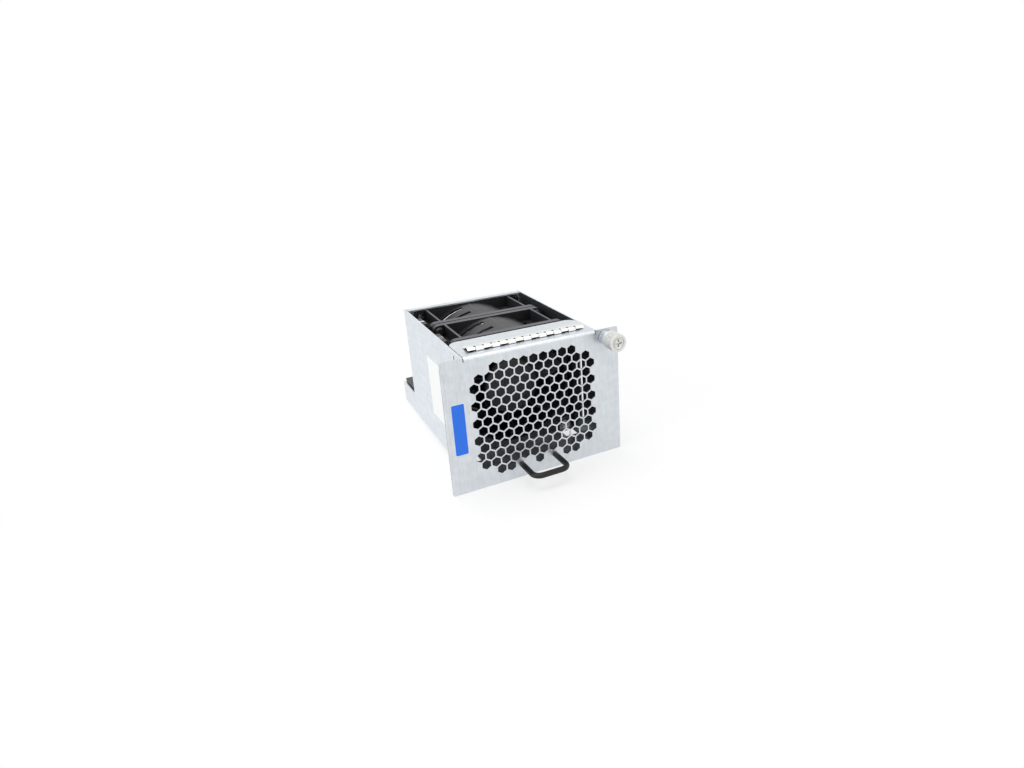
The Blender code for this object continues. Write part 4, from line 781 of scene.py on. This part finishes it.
def knob_surface(axis, face, skirt, radius, cavity, floor, bore, recess_floor):
    """The knob as rows of points from the middle of its face, out, down its fluted side and back inside.

    Heights h and radii r are worked out per row. On the face h = face - groove(r) - dish(r) - cross(r, a),
    where the cross is the smooth inside of two crossed slots. On the side r = radius - depth |sin(n a / 2)|,
    and the depth falls to nothing at both ends."""
    steps = sizes().knurl_count * 8
    rim, groove_depth, dish_depth, cross_depth = 0.0005, 0.0006, 0.0003, 0.0014
    angle = np.linspace(0, 2 * math.pi, steps, endpoint=False)[None, :]
    r_face = np.linspace(POLE, radius - rim, 56)[:, None]
    groove = groove_depth * (smoothstep(0.0031, 0.0033, r_face) - smoothstep(0.0039, 0.0041, r_face))
    dish = dish_depth * (1 - smoothstep(0.0026, 0.0031, r_face))
    u, v = r_face * np.cos(angle), r_face * np.sin(angle)
    cross = cross_depth * np.maximum(slot_arm(u, v), slot_arm(v, u))
    face_rows = about_y(r_face + 0 * angle, angle, face - groove - dish - cross, axis)
    skirt_edge = 0.0004
    side_h = np.linspace(face - rim, skirt + skirt_edge, 14)[:, None]
    ease = smoothstep(face - 0.0004, face - 0.0011, side_h)
    ease = ease * smoothstep(skirt + 0.0003, skirt + 0.0010, side_h)
    flute = sizes().knurl_depth * ease * np.abs(np.sin(sizes().knurl_count * angle / 2))
    side_rows = about_y(radius - flute, angle, side_h + 0 * angle, axis)
    inner = np.array(
        [(radius - skirt_edge, skirt), (cavity, skirt), (cavity, floor)]
        + [(bore, floor), (bore, recess_floor), (POLE, recess_floor)]
    )
    inner_rows = about_y(inner[:, :1] + 0 * angle, angle, inner[:, 1:] + 0 * angle, axis)
    return capped_grid("screw_knob_fluted", np.concatenate([face_rows, side_rows, inner_rows]))


def threaded_rod(name, axis, top, tip, radius, pitch, thread_low):
    """A rod whose radius falls by a triangle wave of (height / pitch - angle / 2 pi) below thread_low."""
    angle = np.linspace(0, 2 * math.pi, 32, endpoint=False)[None, :]
    rows = int((top - tip) / pitch * 6)
    h = np.linspace(top, tip, rows)[:, None]
    phase = (h / pitch - angle / (2 * math.pi)) % 1.0
    depth = 0.6 * pitch * np.abs(2 * phase - 1) * smoothstep(thread_low + pitch, thread_low, h)
    taper = 0.3 * radius * smoothstep(tip + 0.0008, tip, h)
    return capped_grid(name, about_y(radius - depth - taper, angle, h + 0 * angle, axis))


class FANTRAY_OT_captive_screw(bpy.types.Operator):
    """Replaces the knob and the screw by a fluted and a threaded one"""

    bl_idname = "fan_tray.captive_screw"
    bl_label = "Captive screw"

    def execute(self, context):
        low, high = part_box("screw_knob")
        axis = ((low.x + high.x) / 2, PANEL_FRONT, (low.z + high.z) / 2)
        radius = (high.x - low.x) / 2
        face, skirt = PANEL_FRONT - low.y, PANEL_FRONT - high.y
        rod_low, rod_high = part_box("thumb_screw")
        rod_radius = (rod_high.x - rod_low.x) / 2
        side_wall, cap, bore_play, recess = 0.0012, 0.0032, 0.0003, 0.0030
        cavity, floor = radius - side_wall, face - cap
        knob = knob_surface(axis, face, skirt, radius, cavity, floor, rod_radius + bore_play, face - recess)
        nickel = bright_metal("satin_nickel", tuple(colours().knob), 0.30)
        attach(assign(shade_by_angle(knob), nickel), "screw_turn")
        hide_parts("screw_knob")
        top, tip = PANEL_FRONT - rod_low.y, PANEL_FRONT - rod_high.y
        thread_low = -0.0020
        rod = threaded_rod("screw_threaded", axis, top, tip, rod_radius, sizes().thread_pitch, thread_low)
        steel = bright_metal("thread_steel", (0.5, 0.5, 0.5), 0.3)
        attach(assign(shade_by_angle(rod, 50), steel), "screw_turn")
        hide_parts("thumb_screw")
        dress(bright_metal("ferrule_nickel", (0.66, 0.69, 0.73), 0.32), "screw_ferrule")
        dress(moulded("washer_nylon", (0.72, 0.70, 0.64), 0.45), "screw_washer")
        return {"FINISHED"}


# Fans


def blade_surface(root, tip, depth, thickness, spin):
    """One blade as closed loops round its section, from hub to tip, about the Y axis.

    At share s of the chord and v of the span the middle line has turned
    turn (s + camber s (1 - s)) (1 - untwist v) + sweep v^2
    about the axis and lies depth * s behind the front edge. Both sides stand off, square to the middle
    line, by half the thickness times (2.6 sqrt(s) (1 - s) + 0.12 sin(pi s)) (1 - thinning v)."""
    turn, sweep, camber = math.radians(46), math.radians(9), 0.22
    untwist, thinning, samples = 0.18, 0.25, 17
    s_half = (1 - np.cos(np.linspace(0, math.pi, samples))) / 2
    s = np.concatenate([s_half, s_half[-2:0:-1]])[None, :]
    side = np.concatenate([np.ones(samples), -np.ones(samples - 2)])[None, :]
    v = np.linspace(0, 1, 9)[:, None]
    radius = root + (tip - root) * v
    angle = turn * (s + camber * s * (1 - s)) * (1 - untwist * v) + sweep * v**2
    slope = turn * (1 + camber * (1 - 2 * s)) * (1 - untwist * v) * radius
    run = np.sqrt(slope**2 + depth**2)
    body = (2.6 * np.sqrt(s) * (1 - s) + 0.12 * np.sin(math.pi * np.clip(s, 0, 1))) * (1 - thinning * v)
    offset = 0.5 * thickness * side * body
    angle = angle + offset * depth / run / radius + spin
    back = depth * s - offset * slope / run
    return np.stack(np.broadcast_arrays(radius * np.cos(angle), back, radius * np.sin(angle)), axis=-1)


def impeller(name, node, body, facing, phase):
    """A hub cup turned from its profile, with a ring of curved blades whose roots lie in its wall.

    The profile holds (radius, depth behind the hub's face). Facing is 1 when the hub's face points to
    the panel and -1 when it points to the tail."""
    box_low, box_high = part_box(node.replace("impeller", "housing"))
    centre = ((box_low.x + box_high.x) / 2, (box_low.y + box_high.y) / 2, (box_low.z + box_high.z) / 2)
    barrel_wall, hub_inset, count = 0.0017, 0.003, 7
    hub, wall, length, boss = 0.0200, 0.0016, 0.0280, 0.001
    blade_depth, tip_gap, blade_inset = 0.0265, 0.0008, 0.0008
    bore = (box_high.x - box_low.x) / 2 - barrel_wall
    face = (box_high.y - box_low.y) / 2 - hub_inset
    profile = np.array(
        [(POLE, 0), (0.0060, 0), (0.0064, 0.0003), (0.0168, 0.0003), (0.0182, 0.0006), (0.0193, 0.0013)]
        + [(hub, 0.0026), (hub, length), (hub - wall, length), (hub - wall, wall), (0.0033, wall)]
        + [(0.0033, wall + boss), (0.0018, wall + boss), (0.0018, wall * 0.6), (POLE, wall * 0.6)]
    )
    angle = np.linspace(0, 2 * math.pi, 64, endpoint=False)[None, :]
    heights = (face - profile[:, 1:]) * facing
    pieces = [about_y(profile[:, :1] + 0 * angle, angle, heights + 0 * angle, centre)]
    for number in range(count):
        spin = 2 * math.pi * number / count + phase
        loops = blade_surface(hub - wall * 0.6, bore - tip_gap, blade_depth, sizes().blade_thickness, spin)
        loops[..., 1] = -facing * (face - blade_inset - loops[..., 1])
        pieces.append(loops + np.array(centre))
    points, faces, start = [], [], 0
    for rows in pieces:
        n, m, _ = rows.shape
        faces += capped_faces(n, m, start)
        points.append(rows.reshape(-1, 3))
        start += n * m
    piece = outward(mesh_piece(name, np.concatenate(points), faces))
    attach(shade_by_angle(piece), body)
    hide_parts(node)
    return piece


class FANTRAY_OT_fans(bpy.types.Operator):
    """Finishes both fans and gives them their bladed impellers"""

    bl_idname = "fan_tray.fans"
    bl_label = "Fans"

    def frame_plastic(self, prefix):
        """Moulded black, with a painted highlight on the flanges' top rims and painted shade on faces towards
        the grille.
        """
        low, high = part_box(prefix + "_housing")
        # Painted highlight: the frame's top faces are made five times paler, as if lit from above
        painted_highlight_rims = [("place", "Z", high.z - 0.0004, high.z + 1), ("normal", "Z", 0.9, 2.0)]
        # Painted shade: faces towards the grille are darkened
        shaded_intake = [("normal", "Y", -2.0, -0.7)]
        shades = [((5.0, 4.9, 5.1), painted_highlight_rims), ((0.45, 0.45, 0.5), shaded_intake)]
        return moulded(prefix + "_frame", tuple(colours().fan_frame), 0.42, shades=shades)

    def execute(self, context):
        blade_plastic = moulded("impeller_plastic", tuple(colours().impeller), 0.36, 900, 0.00001)
        magnet = moulded("magnet_ferrite", (0.03, 0.03, 0.033), 0.5)
        bearing = bright_metal("bearing_steel", (0.62, 0.62, 0.63), 0.2)
        shaft = bright_metal("shaft_steel", (0.55, 0.55, 0.55), 0.25)
        stator = laminated("stator_sheet", (0.32, 0.20, 0.12))
        board = board_finish("motor_board", (0.02, 0.12, 0.045))
        for prefix, facing, phase in (("front_fan", 1, 0.0), ("rear_fan", -1, 0.25)):
            dress(self.frame_plastic(prefix), prefix + "_housing")
            rounded = ("_housing", "_bearing_inner", "_bearing_outer", "_shaft")
            shade_round(*[prefix + ending for ending in rounded])
            dress(magnet, prefix + "_magnet_ring")
            dress(bearing, prefix + "_bearing_inner", prefix + "_bearing_outer")
            dress(shaft, prefix + "_shaft", prefix + "_shaft_clip")
            dress(stator, prefix + "_stator")
            dress(board, prefix + "_circuit_board")
            body = prefix.replace("fan", "rotor")
            assign(impeller(prefix + "_blades", prefix + "_impeller", body, facing, phase), blade_plastic)
        dress(moulded("gasket_rubber", (0.018, 0.018, 0.019), 0.7), "fan_gasket")
        pins = [f"link_pin_{up}_{across}" for up in ("lower", "upper") for across in ("left", "right")]
        dress(moulded("pin_nylon", (0.02, 0.02, 0.02), 0.4), *pins)
        screws = [f"fan_screw_{end}_{across}" for end in ("front", "rear") for across in ("left", "right")]
        dress(bright_metal("fan_screw_steel", (0.5, 0.5, 0.52), 0.32), *screws)
        return {"FINISHED"}


# Wiring and board

TRAY_SHEET = 0.0010


def rounded_route(corners, bends):
    """Straight legs between the corners, each inner corner replaced by an arc of its own radius.

    The arc's centre lies on the corner's bisector at bend / sin(half the angle between the legs)."""
    corners = [np.array(corner, float) for corner in corners]
    points = [corners[0]]
    for before, corner, after, bend in zip(corners, corners[1:], corners[2:], bends):
        back = (before - corner) / np.linalg.norm(before - corner)
        ahead = (after - corner) / np.linalg.norm(after - corner)
        half = math.acos(float(np.clip(back @ ahead, -1, 1))) / 2
        bisector = (back + ahead) / np.linalg.norm(back + ahead)
        middle = corner + bisector * bend / math.sin(half)
        first = corner + back * bend / math.tan(half) - middle
        last = corner + ahead * bend / math.tan(half) - middle
        turn = math.pi - 2 * half
        share = np.linspace(0, 1, max(4, round(turn / 0.15)))[:, None]
        arc = (np.sin((1 - share) * turn) * first + np.sin(share * turn) * last) / math.sin(turn)
        points.extend(middle + arc)
    points.append(corners[-1])
    return np.array(points)


def cord_piece(name, route, diameter, material):
    """A cord as a curve of one open spline through the route's points."""
    curve = bpy.data.curves.new(name, "CURVE")
    curve.dimensions = "3D"
    curve.bevel_depth = diameter / 2
    curve.bevel_resolution = 4
    curve.use_fill_caps = True
    spline = curve.splines.new("POLY")
    spline.points.add(len(route) - 1)
    spline.points.foreach_set("co", np.column_stack([route, np.ones(len(route))]).ravel())
    curve.materials.append(material)
    cord = bpy.data.objects.new(name, curve)
    bpy.context.scene.collection.objects.link(cord)
    return cord


class FANTRAY_OT_wiring(bpy.types.Operator):
    """Replaces leads and harnesses by cords and finishes the plugs, the board and its connector"""

    bl_idname = "fan_tray.wiring"
    bl_label = "Wiring"

    def cords(self, end, flip, run_height, share, sleeve):
        """A fan's lead, from barrel to plug, and its harness, from the board's header to the socket."""
        diameter, gap, barrel_radius = 0.0016, 0.0003, 0.0396
        fan_low, fan_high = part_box(end + "_fan_housing")
        fan = (fan_low + fan_high) / 2
        plug_low, plug_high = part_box(end + "_lead_plug")
        plug, half = (plug_low + plug_high) / 2, (plug_high.y - plug_low.y) / 2
        socket_low, socket_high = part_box(end + "_harness_socket")
        socket = (socket_low + socket_high) / 2
        x, top = plug.x, plug.z
        leave, start = fan.y + flip * 0.006, plug.y + flip * (half + gap)
        turn = start + flip * 0.0045
        corners = [
            (fan.x - barrel_radius - gap, leave, fan.z),
            (x, leave, fan.z),
            (x, turn, fan.z + 0.014),
            (x, turn, top),
            (x, start, top),
        ]
        route = rounded_route(corners, (0.0025, 0.0040, 0.0040))
        lead = cord_piece(end + "_lead_cord", route, diameter, sleeve)
        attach(lead, "tray")
        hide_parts(end + "_lead")
        header_low, header_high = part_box("board_header")
        target = header_low.x + share * (header_high.x - header_low.x)
        low = TUB_LOW.z + TRAY_SHEET + run_height
        passage = (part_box("rear_panel")[1].y + header_low.y) / 2
        start = socket.y - flip * (half + gap)
        turn = start - flip * 0.0040
        corners = [
            (target, header_low.y - gap, low),
            (target, passage, low),
            (x, passage, low),
            (x, turn + 0.002, low),
            (x, turn, top),
            (x, start, top),
        ]
        route = rounded_route(corners, (0.0030, 0.0032, 0.0032, 0.0032))
        harness = cord_piece(end + "_harness_cord", route, diameter, sleeve)
        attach(harness, "tray")
        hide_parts(end + "_harness")

    def execute(self, context):
        sleeve = sleeved("sleeve", (0.02, 0.02, 0.02))
        self.cords("front", 1, 0.0086, 0.28, sleeve)
        self.cords("rear", -1, 0.0118, 0.72, sleeve)
        # Each plug's pale band is its white contact wafer; the rear plug's band is made paler than the
        # front's as painted light, since it sits deeper in shadow
        for end, wafer_paleness_with_painted_light in (("front", 14.0), ("rear", 42.0)):
            low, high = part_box(end + "_lead_plug")
            joint = high.y if end == "rear" else low.y
            band = 0.0017
            pale_band = [("place", "Y", joint - band, joint + band)]
            shades = [((wafer_paleness_with_painted_light, wafer_paleness_with_painted_light, wafer_paleness_with_painted_light * 0.97), pale_band)]
            nylon = moulded(end + "_plug_nylon", (0.018, 0.018, 0.019), 0.45, shades=shades)
            dress(nylon, end + "_lead_plug", end + "_harness_socket")
        dress(moulded("white_nylon", (0.78, 0.77, 0.73), 0.42), "board_header")
        dress(board_finish("board_mask", (0.02, 0.14, 0.05)), "interface_board")
        dress(moulded("connector_black", (0.018, 0.018, 0.02), 0.4), "blind_mate_connector")
        brass = bright_metal("brass", (0.72, 0.52, 0.22), 0.3)
        dress(brass, "board_standoff_left", "board_standoff_right")
        steel = bright_metal("board_screw_steel", (0.5, 0.5, 0.52), 0.3)
        dress(steel, "board_screw_left", "board_screw_right")
        return {"FINISHED"}


# Labels, places and half sizes

PANEL_LABEL_X = -0.0508
PANEL_LABEL_Z = 0.04245
PANEL_EDGE_HALF = (0.0041, 0.01655)
PANEL_FILM_HALF = (0.0039, 0.01630)
SIDE_LABEL_SETBACK = 0.0505
SIDE_LABEL_Z = 0.045
SIDE_LABEL_HALF = (0.0245, 0.0210)
SIDE_LABEL_TILT = math.radians(1.2)


def rounded_outline(half_u, half_v, corner, steps=5):
    """Points round a rectangle with round corners, as (u, v), anticlockwise."""
    quarter = np.linspace(0, math.pi / 2, steps)
    parts = []
    for k, (su, sv) in enumerate(((1, 1), (-1, 1), (-1, -1), (1, -1))):
        angle = quarter + k * math.pi / 2
        u = su * (half_u - corner) + corner * np.cos(angle)
        v = sv * (half_v - corner) + corner * np.sin(angle)
        parts.append(np.column_stack([u, v]))
    return np.concatenate(parts)


def label_piece(name, centre, axis_u, axis_v, half_size, thickness, base=0.0):
    """A thin label: its outline at the base, just under the top, and at the top drawn in by a hair."""
    half_u, half_v = half_size
    axis_u, axis_v = np.array(axis_u, float), np.array(axis_v, float)
    normal = np.cross(axis_u, axis_v)
    rows = []
    hair = thickness * 0.4
    for level, inset in ((base, 0), (base + thickness - hair, 0), (base + thickness, hair)):
        outline = rounded_outline(half_u - inset, half_v - inset, sizes().label_corner)
        rows.append(np.array(centre) + outline[:, :1] * axis_u + outline[:, 1:] * axis_v + level * normal)
    return shade_by_angle(capped_grid(name, np.stack(rows)))


class FANTRAY_OT_labels(bpy.types.Operator):
    """Adds the two bare labels, on the panel and on the left wall"""

    bl_idname = "fan_tray.labels"
    bl_label = "Labels"

    def execute(self, context):
        thickness = sizes().label_thickness
        x_axis, z_axis = (1, 0, 0), (0, 0, 1)
        centre = (PANEL_LABEL_X, PANEL_FRONT, PANEL_LABEL_Z)
        backing = label_piece("panel_label_edge", centre, x_axis, z_axis, PANEL_EDGE_HALF, thickness)
        film = label_piece("panel_label", centre, x_axis, z_axis, PANEL_FILM_HALF, thickness * 0.5, thickness)
        edge_paper = paper("label_edge", (0.80, 0.84, 0.90), 0.4)
        blue = paper("label_blue", tuple(colours().panel_label), 0.38)
        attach(assign(backing, edge_paper), "tray")
        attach(assign(film, blue), "tray")
        y_axis = (0, -math.cos(SIDE_LABEL_TILT), math.sin(SIDE_LABEL_TILT))
        up_axis = (0, math.sin(SIDE_LABEL_TILT), math.cos(SIDE_LABEL_TILT))
        side = (TUB_LOW.x, PANEL_FRONT + SIDE_LABEL_SETBACK, SIDE_LABEL_Z)
        label = label_piece("side_label", side, y_axis, up_axis, SIDE_LABEL_HALF, thickness)
        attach(assign(label, paper("label_white", tuple(colours().side_label), 0.45)), "tray")
        return {"FINISHED"}


class FANTRAY_PT_panel(bpy.types.Panel):
    """Lists the steps that dress the tray"""

    bl_label = "Fan Tray"
    bl_idname = "FANTRAY_PT_panel"
    bl_space_type = "VIEW_3D"
    bl_region_type = "UI"
    bl_category = "Fan Tray"

    def draw(self, context):
        layout = self.layout
        for operator in OPERATORS:
            layout.operator(operator.bl_idname)
        for group in (context.scene.fan_tray_colours, context.scene.fan_tray_sizes):
            box = layout.box()
            for name in group.__annotations__:
                box.prop(group, name)


OPERATORS = (
    FANTRAY_OT_stage,
    FANTRAY_OT_sheet_metal,
    FANTRAY_OT_handle,
    FANTRAY_OT_captive_screw,
    FANTRAY_OT_fans,
    FANTRAY_OT_wiring,
    FANTRAY_OT_labels,
)
CLASSES = (FanTrayColours, FanTraySizes, *OPERATORS, FANTRAY_PT_panel)


def register():
    for cls in CLASSES:
        bpy.utils.register_class(cls)
    bpy.types.Scene.fan_tray_colours = bpy.props.PointerProperty(type=FanTrayColours)
    bpy.types.Scene.fan_tray_sizes = bpy.props.PointerProperty(type=FanTraySizes)


def unregister():
    del bpy.types.Scene.fan_tray_sizes
    del bpy.types.Scene.fan_tray_colours
    for cls in reversed(CLASSES):
        bpy.utils.unregister_class(cls)


def plain(box):
    """Two corners as lists of numbers."""
    return [[float(c) for c in corner] for corner in box]


def main():
    register()
    bpy.ops.fan_tray.stage()
    bpy.ops.fan_tray.sheet_metal()
    bpy.ops.fan_tray.handle()
    bpy.ops.fan_tray.captive_screw()
    bpy.ops.fan_tray.fans()
    bpy.ops.fan_tray.wiring()
    bpy.ops.fan_tray.labels()


if __name__ == "__main__":
    main()
